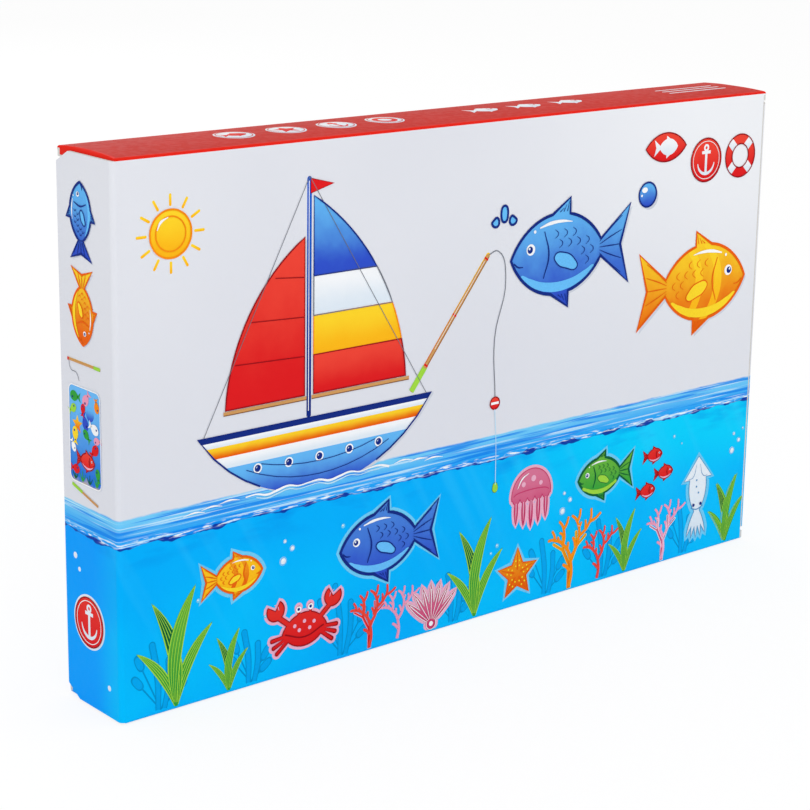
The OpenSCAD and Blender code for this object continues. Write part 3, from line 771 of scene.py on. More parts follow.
class CartonStageSettings(bpy.types.PropertyGroup):
    """Camera, floor and light."""

    eye: FloatVectorProperty(
        name="Eye", description="Place of the camera", subtype="TRANSLATION", unit="LENGTH",
        default=(-0.6355, -0.7332, 0.3759))
    heading: FloatProperty(
        name="Heading", description="Turn of the view from +Y towards +X", subtype="ANGLE",
        default=math.radians(41.113))
    pitch: FloatProperty(
        name="Pitch", description="How far the view looks down", subtype="ANGLE",
        default=math.radians(13.858))
    roll: FloatProperty(
        name="Roll", description="Turn of the picture about the view", subtype="ANGLE",
        default=math.radians(1.193))
    focal: FloatProperty(
        name="Focal length", description="Focal length as a share of the picture's width",
        default=FOCAL / PICTURE_W)
    shift: FloatVectorProperty(
        name="Shift", description="Shift of the picture, as shares of its width", size=2,
        default=(0.5 - PRINCIPAL[0] / PICTURE_W, PRINCIPAL[1] / PICTURE_W - 0.5))
    world: FloatProperty(
        name="Room light", description="Strength of the even light from all round", default=0.8, min=0)
    key: FloatProperty(
        name="Key light", description="Power of the soft box at the front left", default=13, min=0,
        unit="POWER")
    fill: FloatProperty(
        name="Fill light", description="Power of the soft box at the right", default=3, min=0,
        unit="POWER")
    back: FloatProperty(
        name="Back light", description="Power of the soft box behind", default=5, min=0, unit="POWER")


# Carton

class CARTON_OT_finish_print_fields(bpy.types.Operator):
    """Paint the board and the printed fields"""

    bl_idname = "carton.finish_print_fields"
    bl_label = "Finish the board and the fields"

    def execute(self, context):
        fields = ["sky_print", "sea_print", "shallows_print"]
        ends = [side + field for side in ("left_", "right_") for field in fields]
        finishes = {name: printed("scenery", scenery) for name in fields + ends}
        finishes["carton"] = board_finish("bleeding_board", True)
        finishes["left_closure"] = finishes["right_closure"] = board_finish()
        finishes["top_print"] = printed("top_red", top_red)
        for name, finish in finishes.items():
            dress(frame["nodes"][name], finish)
        return {"FINISHED"}


def dress(node, finish):
    """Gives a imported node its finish."""
    if not node.material_slots:
        node.data.materials.append(finish)
    for slot in node.material_slots:
        slot.material = finish


class CARTON_OT_make_end_folds(bpy.types.Operator):
    """Roll a fold of printed board from each long panel onto its closure"""

    bl_idname = "carton.make_end_folds"
    bl_label = "Make the end folds"

    def execute(self, context):
        for side, turn in (("left", 0), ("right", math.pi)):
            end_fold(side, Matrix.Rotation(turn, 3, "Z"))
        return {"FINISHED"}


def end_fold(side, turned):
    """The board that bends between a panel and its closure, as one strip swept round the hinge. It is made
    at the left end, and turned about for the right one."""
    closure = side + "_closure"
    outer = HALF_L + HINGE.x + 1.3 * INK_T * MM          # radii of the strip's faces about the hinge
    inner = outer - BOARD_T * MM
    middle = (outer + inner) / 2
    onto = 2.2 * MM                                      # how far it runs on over the panel and the closure
    clear = 0.03 * MM
    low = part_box(closure)[0].z - clear
    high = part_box(closure)[1].z + clear
    mesh = bmesh.new()
    bmesh.ops.create_grid(mesh, x_segments=1, y_segments=1, size=0.5)
    upright = Matrix(((0, 0, 1), (outer - inner, 0, 0), (0, high - low, 0)))
    bmesh.ops.transform(mesh, matrix=upright.to_4x4(), verts=mesh.verts)
    on_panel = Vector((HINGE.x + onto, HINGE.y - middle, (low + high) / 2))
    bmesh.ops.translate(mesh, vec=on_panel, verts=mesh.verts)
    face = sweep_on(mesh, mesh.faces[:][0], (-onto, 0, 0))
    spun = bmesh.ops.spin(mesh, geom=[face, *face.edges, *face.verts], cent=(HINGE.x, HINGE.y, 0),
                          axis=(0, 0, 1), angle=-math.pi / 2, steps=10, use_merge=False,
                          use_duplicate=False)
    bent = next(item for item in spun["geom_last"] if isinstance(item, bmesh.types.BMFace))
    sweep_on(mesh, bent, (0, onto, 0))
    bmesh.ops.recalc_face_normals(mesh, faces=mesh.faces)
    for face in mesh.faces:
        off_hinge = (face.calc_center_median() - HINGE).to_2d().length
        on_print = off_hinge > middle + 0.3 * MM and abs(face.normal.z) < 0.5
        face.material_index = 0 if on_print else 1
    bmesh.ops.rotate(mesh, cent=(0, 0, 0), matrix=turned, verts=mesh.verts)
    rest = mesh.verts.layers.float_vector.new("rest")
    for vert in mesh.verts:
        vert[rest] = vert.co
    piece = new_piece(side + "_fold", mesh, printed("fold_scenery", scenery, "rest"), "sky_ink")
    piece.data.materials.append(frame["nodes"]["left_closure"].material_slots[0].material)
    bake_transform(piece)


def sweep_on(mesh, face, move):
    """Extrudes the end face of a strip and gives the new end face."""
    result = bmesh.ops.extrude_face_region(mesh, geom=[face])
    verts = [g for g in result["geom"] if isinstance(g, bmesh.types.BMVert)]
    bmesh.ops.translate(mesh, vec=move, verts=verts)
    return next(g for g in result["geom"] if isinstance(g, bmesh.types.BMFace))


# Drawn details

# A packed fish, in shares of its length: its body's length and width, and how far its middle lies ahead
BODY_L = 0.78
BODY_W = 0.5
BODY_X = 0.11

# A packed seaweed: each leaf's lean in degrees, its height as a share of the weed's, and the way it bows.
# A leaf lies between two arcs, whose rises are shares of its length.
SEAWEED = ((-33, 0.66, 1), (-13, 0.96, 1), (11, 1.02, -1), (28, 0.74, -1))
LEAF_INNER = 1 / 30
LEAF_WIDTH = 1 / 8
LEAF_STEPS = [0.03 + 0.95 * i / 30 for i in range(31)]          # places up a leaf that its lines run through

ROOTED = 3                              # what stands on the sea's floor reaches lower than this, in mm

# Plants far off: place along, and height in mm
FAR_PLANTS = ((-0.9, 30), (-0.66, 24), (-0.4, 34), (-0.06, 24), (0.25, 28), (0.45, 30), (0.75, 26))

# Small corals: place along, height as a share of the sea's, and ink
SMALL_CORALS = (
    (-0.32, 0.14, "scarlet"),
    (-0.235, 0.12, "pink"),
    (0.33, 0.19, "orange"),
    (0.43, 0.13, "scarlet"),
    (0.67, 0.15, "pink"),
)

# Small bubbles: place along and up, and radius in mm
SMALL_BUBBLES = (
    (-0.8, 0.6, 1.0), (-0.62, 0.4, 0.8), (-0.4, 0.82, 1.1), (-0.38, 0.76, 0.7), (0.06, 0.4, 0.8),
    (0.08, 0.44, 1.1), (0.36, 0.42, 0.7), (0.7, 0.86, 1.0), (0.73, 0.8, 0.6), (0.97, 0.8, 0.9),
)


def beside(place, *offsets):
    """Places at some offsets from a place. A third value, a width, passes through."""
    return [(place[0] + x, place[1] + z, *width) for x, z, *width in offsets]


def back_of_fish(x):
    """Height of a fish's back over its middle line, all in shares of its length."""
    radius = (BODY_L ** 2 + BODY_W ** 2) / (4 * BODY_W)
    return math.sqrt(radius ** 2 - (x - BODY_X) ** 2) - radius + BODY_W / 2


def draw_fish(pad, fish, dark, pale, rich=True):
    """Outline, belly, gill, mouth, eye and tail rays on a packed fish figure, and more on a rich one."""
    lines = bpy.context.scene.carton_drawing
    unit = fish.unit
    fine = min(lines.fine, 0.016 * unit) if rich else 0.025 * unit
    spots = fish.marks
    pad[dark].contour(fish, min(lines.bold, 0.035 * unit))
    rear, front = -0.2, 0.42
    steps = [rear + (front - rear) * i / 8 for i in range(9)]
    lower = [(x, -0.94 * back_of_fish(x)) for x in steps]
    upper = [(x, -0.7 * back_of_fish(x)) for x in reversed(steps[1:-1])]
    pad[pale].shape(spots(*lower, *upper))
    pad[dark].line(spots((0.23, 0.15, 0.5), (0.19, 0.0), (0.23, -0.14, 0.5)), 1.5 * fine)
    pad[dark].line(spots((0.475, -0.02), (0.44, -0.045), (0.4, -0.05, 0.5)), 1.2 * fine)
    pad["white"].disc(fish.mark(0.34, 0.05), 0.034 * unit)
    pad["navy"].disc(fish.mark(0.346, 0.05), 0.022 * unit)
    pad["pearl"].disc(fish.mark(0.352, 0.058), 0.008 * unit)
    for k in range(-2, 3):
        pad[dark].line(spots((-0.24, 0.018 * k, 0.4), (-0.33, 0.055 * k), (-0.43, 0.09 * k, 0.5)), fine)
    if rich:
        draw_fins_and_scales(pad, fish, dark, pale, fine)


def draw_fins_and_scales(pad, fish, dark, pale, fine):
    """Fin rays, rows of scales, the side fin and the gloss along the back of a large fish."""
    spots = fish.marks
    for side in (-1, 1):
        for k in range(3):
            foot = (0.045 + 0.03 * k, 0.256 * side)
            tip = (0.03 + 0.022 * k, (0.318 - 0.02 * k) * side, 0.4)
            pad[dark].line(spots(foot, tip), 0.8 * fine)
    for row in range(-2, 4):
        for column in range(5):
            x = 0.13 - 0.075 * (column + row % 2 / 2)
            y = 0.062 * row
            on_fin = -0.08 < x < 0.15 and -0.14 < y < 0.03
            if not on_fin and -0.45 * back_of_fish(x) < y < 0.85 * back_of_fish(x) - 0.05:
                arc = spots((x + 0.012, y + 0.028, 0.4), (x - 0.016, y), (x + 0.012, y - 0.028, 0.4))
                pad[dark].line(arc, 0.8 * fine)
    fin = spots((0.14, -0.01), (0.05, 0.0), (-0.03, -0.05), (-0.05, -0.1), (0.05, -0.095), (0.12, -0.06))
    pad[pale].shape(fin)
    pad[dark].line(fin, fine, closed=True)
    gloss = [(x, 0.8 * back_of_fish(x), w) for x, w in ((0.0, 0.2), (0.08, 0.8), (0.18, 1.0), (0.27, 0.4))]
    pad["white"].line(spots(*gloss), 0.022 * fish.unit)
    pad["white"].disc(fish.mark(0.31, 0.78 * back_of_fish(0.31)), 0.01 * fish.unit)


def draw_minnow(pad, centre, size, ink, turn):
    """A tiny fish of one ink: a rounded body, a tail and an eye."""
    turned = Matrix.Rotation(math.radians(turn), 2)

    def spots(*points):
        """Places for points in shares of its size, about its middle."""
        return [tuple(Vector(centre) + turned @ Vector(p) * size) for p in points]

    pad[ink].shape(spots((0.5, 0.0), (0.2, 0.3), (-0.2, 0.2), (-0.35, 0.0), (-0.2, -0.2), (0.2, -0.3)))
    pad[ink].shape(spots((-0.25, 0.0), (-0.6, 0.3), (-0.5, 0.0), (-0.6, -0.3)), smooth=False)
    pad["navy"].disc(spots((0.25, 0.08))[0], 0.07 * size)


def draw_drops(pad, centre, size, ink="sky_blue"):
    """A small splash of three drops, with a dark edge."""
    for lean, reach in ((-38, 0.8), (0, 1.1), (38, 0.8)):
        turned = Matrix.Rotation(math.radians(-lean), 2)
        drop = [turned @ Vector(p) * size for p in ((0, 0.5), (0.16, 0.75), (0, reach), (-0.16, 0.75))]
        places = beside(centre, *drop)
        pad[ink].shape(places)
        pad["navy"].line(places, 0.09 * size, closed=True)


def draw_shadow(pad, seen, shift=(1.6, -1.6)):
    """A faint printed shadow beside a figure."""
    for loop in seen.loops[:1]:
        pad.under("shade").shape(beside(shift, *loop), smooth=False)


def sky_place(across, up):
    """Place in the sky of the front, from shares of half the length and of the sky's height."""
    water = SHALLOWS_TOP / MM
    return across * HALF_L / MM, water + up * (HEIGHT / MM - water)


def sea_place(across, up):
    """Place in the sea of the front, from shares of half the length and of the sea's height."""
    return across * HALF_L / MM, up * SEA_LEVEL / MM


class CARTON_OT_shade_figures(bpy.types.Operator):
    """Give the printed figures inks that grow paler towards their heads"""

    bl_idname = "carton.shade_figures"
    bl_label = "Shade the printed figures"

    def execute(self, context):
        shades = {
            "blue": ("ultramarine", "sky_blue"),
            "orange": ("deep_orange", "yellow"),
            "yellow": ("amber", "yellow"),
            "red": ("red", "scarlet"),
            "green": ("green", "lime"),
            "pink": ("deep_pink", "rose"),
            "navy": ("navy", "blue"),
            "white": ("pearl", "white"),
        }
        for name, (deep, pale) in shades.items():
            finish = printed(name + "_shaded", shaded_ink(deep, pale))
            shaded_copy(name + "_print", ("front", "top"), finish)
            for side in ("left", "right"):
                node = "_".join((side, name, "print"))
                if node in frame["nodes"]:
                    shaded_copy(node, (side,), finish)
        return {"FINISHED"}


class CARTON_OT_draw_sky(bpy.types.Operator):
    """Draw the marks on the large fish, the sun, the badges and the ball"""

    bl_idname = "carton.draw_sky"
    bl_label = "Draw the sky's figures"

    def execute(self, context):
        lines = context.scene.carton_drawing
        pad = Pad("front", "sky")
        blue_fish = figure("blue_print", "front", *sky_place(0.3, 0.55))
        orange_fish = figure("orange_print", "front", *sky_place(0.74, 0.37))
        draw_fish(pad, blue_fish.posed(blue_fish.size.x, -1), "navy", "sky_blue")
        draw_fish(pad, orange_fish.posed(orange_fish.size.x), "deep_orange", "yellow")
        for fish in (blue_fish, orange_fish):
            draw_shadow(pad, fish)
        draw_drops(pad, blue_fish.mark(0.56, 0.16), 13)
        ball = figure("blue_print", "front", *sky_place(0.56, 0.7))
        draw_shadow(pad, ball)
        pad["navy"].contour(ball, 0.9)
        pad["white"].disc(ball.mark(-0.18, 0.2), 0.16 * ball.unit, 0.7)
        pad["white"].disc(ball.mark(-0.34, -0.02), 0.05 * ball.unit)
        sun = figure("yellow_print", "front", *sky_place(-0.86, 0.78))
        pad["orange"].ring(sun.centre, 0.5 * sun.unit, lines.fine * 1.4)
        pad["white"].line(sun.marks((-0.33, 0.1, 0.3), (-0.24, 0.26), (-0.06, 0.35, 0.3)), 1.2)
        pad["orange"].ring(sun.centre, 0.36 * sun.unit, lines.fine)
        places = ((0.77, 0.79), (0.9, 0.79), (0.62, 0.85))
        anchor, *others = (figure("red_print", "front", *sky_place(x, z)) for x, z in places)
        for badge in (anchor, *others):
            pad["dark_red"].contour(badge, lines.fine)
        pad["white"].ring(anchor.centre, 0.43 * anchor.unit, 0.35)
        pad.finish()
        return {"FINISHED"}


class Hull:
    """The boat's hull from the side: an arc under a level deck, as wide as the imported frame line."""

    def __init__(self, frame_line, deck):
        self.stern, self.bow = frame_line.low.x, frame_line.high.x
        self.deck = deck
        self.middle = (self.bow + self.stern) / 2
        self.half = (self.bow - self.stern) / 2
        self.depth = 0.52 * self.half
        self.radius = (self.half ** 2 + self.depth ** 2) / (2 * self.depth)

    def under(self, x, share=1.0):
        """Height of its underside across from its middle, or of a seam at a share of its depth."""
        return self.deck - share * (math.sqrt(self.radius ** 2 - x ** 2) - self.radius + self.depth)


class CARTON_OT_draw_boat(bpy.types.Operator):
    """Draw the boat's hull, sails, rigging, rod and line, and the water about it"""

    bl_idname = "carton.draw_boat"
    bl_label = "Draw the boat"

    def execute(self, context):
        pad = Pad("front", "boat")
        frame_line = figure("navy_print", "front", *sky_place(-0.47, 0.5))
        hull = Hull(frame_line, sky_place(-0.47, 0.18)[1])
        mast_top = (sky_place(-0.5, 0)[0], frame_line.high.y)
        self.draw_hull(pad, hull)
        self.draw_rigging(pad, hull, mast_top)
        self.draw_sails(pad)
        self.draw_rod(pad)
        self.draw_water(pad, hull)
        pad.finish(covers=printed("scenery", scenery))
        return {"FINISHED"}

    def draw_hull(self, pad, hull):
        """Shadow, dry edge, two seams and the portholes."""
        across = [hull.half * (i / 8 - 1) for i in range(17)]
        under = [(hull.middle + x, hull.under(x)) for x in across]
        shadow = beside((1.4, -1.2), *under)
        pad.under("shade").shape([*shadow, (hull.bow + 1.4, hull.deck)], smooth=False)
        dry = [point for point in under if point[1] > hull.under(0) + 4]
        to_stern = [point for point in reversed(dry) if point[0] < hull.middle]
        from_bow = [point for point in reversed(dry) if point[0] >= hull.middle]
        pad["navy"].line([*to_stern, (hull.bow, hull.deck), *from_bow], 0.8, smooth=False)
        for share in (0.62, 0.8):
            seam = [(hull.middle + 0.98 * x, hull.under(x, share)) for x in across]
            seam = [point for point in seam if point[1] < hull.deck - 15]
            pad["navy"].line(seam, 0.35, smooth=False)
        for i in range(-2, 3):
            spot = (hull.middle + 0.26 * hull.half * i, hull.deck - 0.56 * hull.depth + 0.3 * abs(i))
            pad["white"].ring(spot, 1.9, 0.7)
            pad["navy"].disc(spot, 1.6)
            pad["pearl"].line(beside(spot, (-0.9, 0.1, 0.4), (-0.3, 0.8)), 0.4)

    def draw_rigging(self, pad, hull, top):
        """Stays from the mast's top to the bow and the stern, light along the mast, and the flag."""
        for end in (hull.bow - 3, hull.stern + 3):
            pad["grey"].line([top, (end, hull.deck)], 0.3, smooth=False)
        pad["white"].line([(top[0] - 0.35, hull.deck + 3), (top[0] - 0.35, top[1] - 2)], 0.35, smooth=False)
        flag = beside(top, (0.6, -1), (13, -4.2), (0.6, -7.4))
        pad["red"].shape(flag, smooth=False)
        pad["dark_red"].line(flag, 0.5, closed=True, smooth=False)

    def draw_sails(self, pad):
        """Shadow and edge of each sail, the seams of the one before the mast, and the two booms."""
        sails = (
            ("red_print", -0.62, 0.45, "dark_red"),
            ("blue_print", -0.4, 0.7, "navy"),
            ("white_print", -0.36, 0.54, "grey"),
            ("yellow_print", -0.36, 0.42, "orange"),
            ("red_print", -0.36, 0.3, "dark_red"),
        )
        for node, x, z, ink in sails:
            sail = figure(node, "front", *sky_place(x, z))
            draw_shadow(pad, sail, (1.2, -1.2))
            pad[ink].contour(sail, 0.7)
        jib = figure("red_print", "front", *sky_place(-0.62, 0.45))
        for share in (0.25, 0.5, 0.75):
            z = jib.low.y + share * jib.size.y
            reach = jib.size.x * (1 - share ** 1.7) * 0.97
            pad["dark_red"].line([(jib.high.x - 0.4, z), (jib.high.x - reach, z + 1.5)], 0.4)
        aft = figure("red_print", "front", *sky_place(-0.36, 0.3))
        for low, high in ((jib.low.x - 1, jib.high.x + 1), (aft.low.x - 1, aft.high.x + 2)):
            for ink, drop, width in (("wood", 1.3, 1.6), ("brown", 2.1, 0.4)):
                pad[ink].line([(low, jib.low.y - drop), (high, jib.low.y - drop)], width, smooth=False)

    def draw_rod(self, pad):
        """Wooden rod with a grip, and its line with float and lure."""
        rod = figure("orange_print", "front", *sky_place(-0.09, 0.4))
        foot, tip = Vector(rod.low) + Vector((1, 1)), Vector(rod.high) - Vector((1, 1))
        along = (tip - foot).normalized()
        aside = Vector((-along.y, along.x))

        def on_rod(share, off=0.0):
            """A place on the rod, from its foot at 0 to its tip at 1, and off its middle line."""
            return tuple(foot + (tip - foot) * share + aside * off)

        strokes = (
            ("wood", 0.16, 1.0, 0.0, 1.9),
            ("brown", 0.17, 0.99, -0.75, 0.4),
            ("white", 0.3, 0.95, 0.3, 0.25),
            ("lime", -0.01, 0.17, 0.0, 3.0),
            ("steel", 0.0, 0.16, -1.2, 0.4),
        )
        for ink, start, end, off, width in strokes:
            pad[ink].line([on_rod(start, off), on_rod(end, off)], width, smooth=False)
        for share in (0.18, 0.55, 0.97):
            pad["red"].line([on_rod(share, 1.2), on_rod(share, -1.2)], 0.9, smooth=False)
        bob = figure("red_print", "front", *sky_place(0.06, 0.1))
        top, low = (bob.centre.x, bob.high.y), (bob.centre.x, bob.low.y)
        pad["grey"].line([on_rod(1.0), *beside(tip, (6, 1), (11, -12), (5, -40)), top], 0.45)
        pad["white"].line(beside(bob.centre, (-2.4, 0), (2.4, 0)), 1.2, smooth=False)
        pad["dark_red"].contour(bob, 0.5)
        lure = (low[0] + 1.5, 0.84 * SEA_LEVEL / MM)
        pad["glass"].line([low, (low[0] + 1.2, low[1] - 16), lure], 0.4)
        body = beside(lure, (0, 1), (1.6, -1.2), (0.9, -3.6), (-0.9, -3.6), (-1.6, -1.2))
        pad["lime"].shape(body)
        pad["dark_green"].line(body, 0.4, closed=True)

    def draw_water(self, pad, hull):
        """The water that laps over the boat's foot, with foam along the hull and a wash beside it."""
        keel = hull.under(0)
        reach = 0.62 * hull.half
        steps = 14
        crest = []
        for i in range(steps + 1):
            x = reach * (2 * i / steps - 1)
            lap = 0.7 * math.sin(2.1 * i) + 0.4 * math.sin(5.3 * i)
            crest.append((hull.middle + x, keel + 3.4 + lap))
        below = [(hull.middle + reach, keel - 2), (hull.middle - reach, keel - 2)]
        pad.between("sky_blue").shape([*crest, *below], smooth=False)
        foam = [(x, z, 0.5 + 0.5 * math.sin(3.7 * i) ** 2) for i, (x, z) in enumerate(crest)]
        pad["white"].line(foam, 1.1)
        pad["glass"].line([(x, z - 1.5, w) for x, z, w in foam[1:-1]], 0.7)
        for side in (-1, 1):
            for k in range(3):
                start = (hull.middle + side * (reach + 3 + 9 * k), keel + 3 - k)
                wash = beside(start, (0, 0, 0.2), (5 * side, 0.8), (11 * side, 0, 0.2))
                pad["white"].line(wash, 0.8)


class CARTON_OT_draw_sea(bpy.types.Operator):
    """Draw the marks, outlines and pale rims of the sea's creatures"""

    bl_idname = "carton.draw_sea"
    bl_label = "Draw the sea's creatures"

    def execute(self, context):
        lines = context.scene.carton_drawing
        pad = Pad("front", "sea")
        tuna = figure("blue_print", "front", *sea_place(-0.26, 0.66))
        wrasse = figure("green_print", "front", *sea_place(0.45, 0.72))
        angel = figure("yellow_print", "front", *sea_place(-0.71, 0.69))
        draw_fish(pad, tuna.posed(tuna.size.x, -1), "navy", "sky_blue")
        draw_fish(pad, wrasse.posed(wrasse.size.x, -1), "dark_green", "lime")
        draw_fish(pad, angel.posed(angel.size.x), "deep_orange", "yellow")
        for fish in figures("red_print", "front"):
            if fish.size.x < 16 and fish.size.y > 5 and fish.centre.y < SEA_LEVEL / MM:
                draw_fish(pad, fish, "dark_red", "rose", rich=False)
        crab = figure("red_print", "front", *sea_place(-0.51, 0.26))
        squid = figure("white_print", "front", *sea_place(0.8, 0.4))
        jelly = figure("pink_print", "front", *sea_place(0.19, 0.72))
        star = figure("orange_print", "front", *sea_place(0.15, 0.22))
        shell = figure("pink_print", "front", *sea_place(-0.13, 0.15))
        for seen in (tuna, wrasse, angel, star, squid):
            pad.under("mist").contour(seen, lines.halo)
        for seen in (crab, jelly, shell):
            pad.under("rose").contour(seen, 0.7 * lines.halo, lowest=FLAT_FROM)
        self.draw_crab(pad, crab)
        self.draw_squid(pad, squid)
        self.draw_jellyfish(pad, jelly)
        self.draw_starfish(pad, star)
        self.draw_shell(pad, shell)
        pad.finish()
        return {"FINISHED"}

    def draw_crab(self, pad, crab):
        """Edge, a line and spots on the back, eyes, and light on the claws."""
        fine = bpy.context.scene.carton_drawing.fine
        width = crab.size.x
        body = crab.posed(width, centre=(crab.centre.x, crab.high.y - 0.42 * width))
        pad["dark_red"].contour(crab, 0.5)
        pad["dark_red"].line(body.marks((-0.26, 0.02), (0, -0.06), (0.26, 0.02)), fine)
        for x, z in ((-0.13, 0.09), (0.0, 0.12), (0.13, 0.09), (-0.07, 0.03), (0.07, 0.03)):
            pad["rose"].disc(body.mark(x, z), 0.022 * width)
        for side in (-1, 1):
            pad["white"].disc(body.mark(0.08 * side, 0.27), 0.035 * width)
            pad["navy"].disc(body.mark(0.08 * side, 0.272), 0.018 * width)
            glint = body.marks((0.34 * side, 0.32, 0.3), (0.36 * side, 0.37), (0.4 * side, 0.39, 0.3))
            pad["rose"].line(glint, 0.6)

    def draw_squid(self, pad, squid):
        """Edge, the rim of its mantle, eyes, folds of the fins and a few spots."""
        fine = bpy.context.scene.carton_drawing.fine
        tall = squid.size.y
        body = squid.posed(tall, centre=(squid.centre.x, squid.high.y - 0.5 * tall))
        pad["steel"].contour(squid, 0.5)
        pad["steel"].line(body.marks((-0.1, -0.12), (0, -0.15), (0.1, -0.12)), fine)
        for side in (-1, 1):
            pad["navy"].disc(body.mark(0.06 * side, -0.09), 0.02 * tall)
            fold = body.marks((0.03 * side, 0.4, 0.4), (0.09 * side, 0.25), (0.16 * side, 0.24, 0.4))
            pad["steel"].line(fold, 0.4)
        for x, z in ((0.02, 0.05), (-0.02, 0.13), (-0.02, 0.21)):
            pad["steel"].disc(body.mark(x, z), 0.012 * tall)

    def draw_jellyfish(self, pad, jelly):
        """Edge, the rim and spots of the bell, its gloss, and light on the arms."""
        width = jelly.size.x
        dome = jelly.posed(width, centre=(jelly.centre.x, jelly.high.y - 0.5 * width))
        pad["deep_pink"].contour(jelly, 0.45)
        rim = [(0.45 * math.cos(t), 0.02 + 0.07 * math.sin(t)) for t in (math.pi * i / 6 for i in range(7))]
        pad["deep_pink"].line(dome.marks(*rim), 0.5)
        for x, z, r in ((-0.2, 0.22, 0.05), (0.05, 0.3, 0.06), (0.24, 0.18, 0.045)):
            pad["rose"].disc(dome.mark(x, z), r * width)
        pad["white"].line(dome.marks((-0.36, 0.16, 0.3), (-0.24, 0.34), (-0.08, 0.42, 0.3)), 0.9)
        for i in range(-2, 3):
            pad["rose"].line(dome.marks((0.19 * i, -0.12), (0.19 * i, -0.3), (0.19 * i, -0.5, 0.2)), 0.5)

    def draw_starfish(self, pad, star):
        """Edge, and a ridge with dots beside it on each arm."""
        radius = star.size.y / (1 + math.cos(math.pi / 5))
        body = star.posed(radius, centre=(star.centre.x, star.high.y - radius))
        pad["deep_orange"].contour(star, 0.9)
        for i in range(5):
            turn = math.tau * i / 5
            arm = [(s * math.sin(turn), s * math.cos(turn), 1.2 - s) for s in (0.15, 0.5, 0.8)]
            pad["deep_orange"].line(body.marks(*arm), 0.7)
            for s in (0.3, 0.5):
                for side in (-0.09, 0.09):
                    x = s * math.sin(turn) + side * math.cos(turn)
                    z = s * math.cos(turn) - side * math.sin(turn)
                    pad["yellow"].disc(body.mark(x, z), 0.035 * radius)

    def draw_shell(self, pad, shell):
        """Edge, and ribs that fan out from the hinge."""
        tall = shell.high.y - 0.06 * SEA_LEVEL / MM
        body = shell.posed(tall, centre=(shell.centre.x, shell.high.y - tall))
        pad["deep_pink"].contour(shell, 0.45)
        for lean in range(-48, 49, 16):
            turn = math.radians(lean)
            rib = [(s * math.sin(turn), s * math.cos(turn), 0.4 + 0.6 * s) for s in (0.12, 0.5, 0.85)]
            pad["white"].line(body.marks(*rib), 0.5)
        pad["white"].disc(body.mark(0.0, 0.0), 0.06 * tall)


class Weed:
    """A packed seaweed, whose leaves all spring from one root."""

    def __init__(self, seen):
        lean, height = SEAWEED[2][:2]
        self.tall = seen.high.y / (height * math.cos(math.radians(lean)))
        lean, height = SEAWEED[3][:2]
        self.root = seen.high.x - self.tall * height * math.sin(math.radians(lean))

    def on_leaf(self, leaf, share, s):
        """A place on a leaf: up it by s, and from its inner arc at share 0 to its outer one at 1."""
        lean, height, bow = leaf
        turn, length = math.radians(lean), height * self.tall
        x = bow * 4 * s * (1 - s) * length * (LEAF_INNER + share * LEAF_WIDTH)
        z = s * length
        return self.root + x * math.cos(turn) + z * math.sin(turn), z * math.cos(turn) - x * math.sin(turn)

    def hides(self, leaf, place):
        """Whether a place lies on a leaf."""
        lean, height, bow = leaf
        turn, length = math.radians(lean), height * self.tall
        x, z = place[0] - self.root, place[1]
        s = (x * math.sin(turn) + z * math.cos(turn)) / length
        across = (x * math.cos(turn) - z * math.sin(turn)) * bow
        return 0 < s < 1 and LEAF_INNER < across / (4 * s * (1 - s) * length) < LEAF_INNER + LEAF_WIDTH

    def runs(self, leaf, share, nearer):
        """The parts of a line up a leaf that no nearer leaf hides, clear of the bottom fold."""
        found = [[]]
        for s in LEAF_STEPS:
            place = self.on_leaf(leaf, share, s)
            if place[1] > FLAT_FROM + 0.2 and not any(self.hides(other, place) for other in nearer):
                found[-1].append((*place, 0.3 + 2.8 * s * (1 - s)))
            elif found[-1]:
                found.append([])
        return [run for run in found if len(run) > 1]


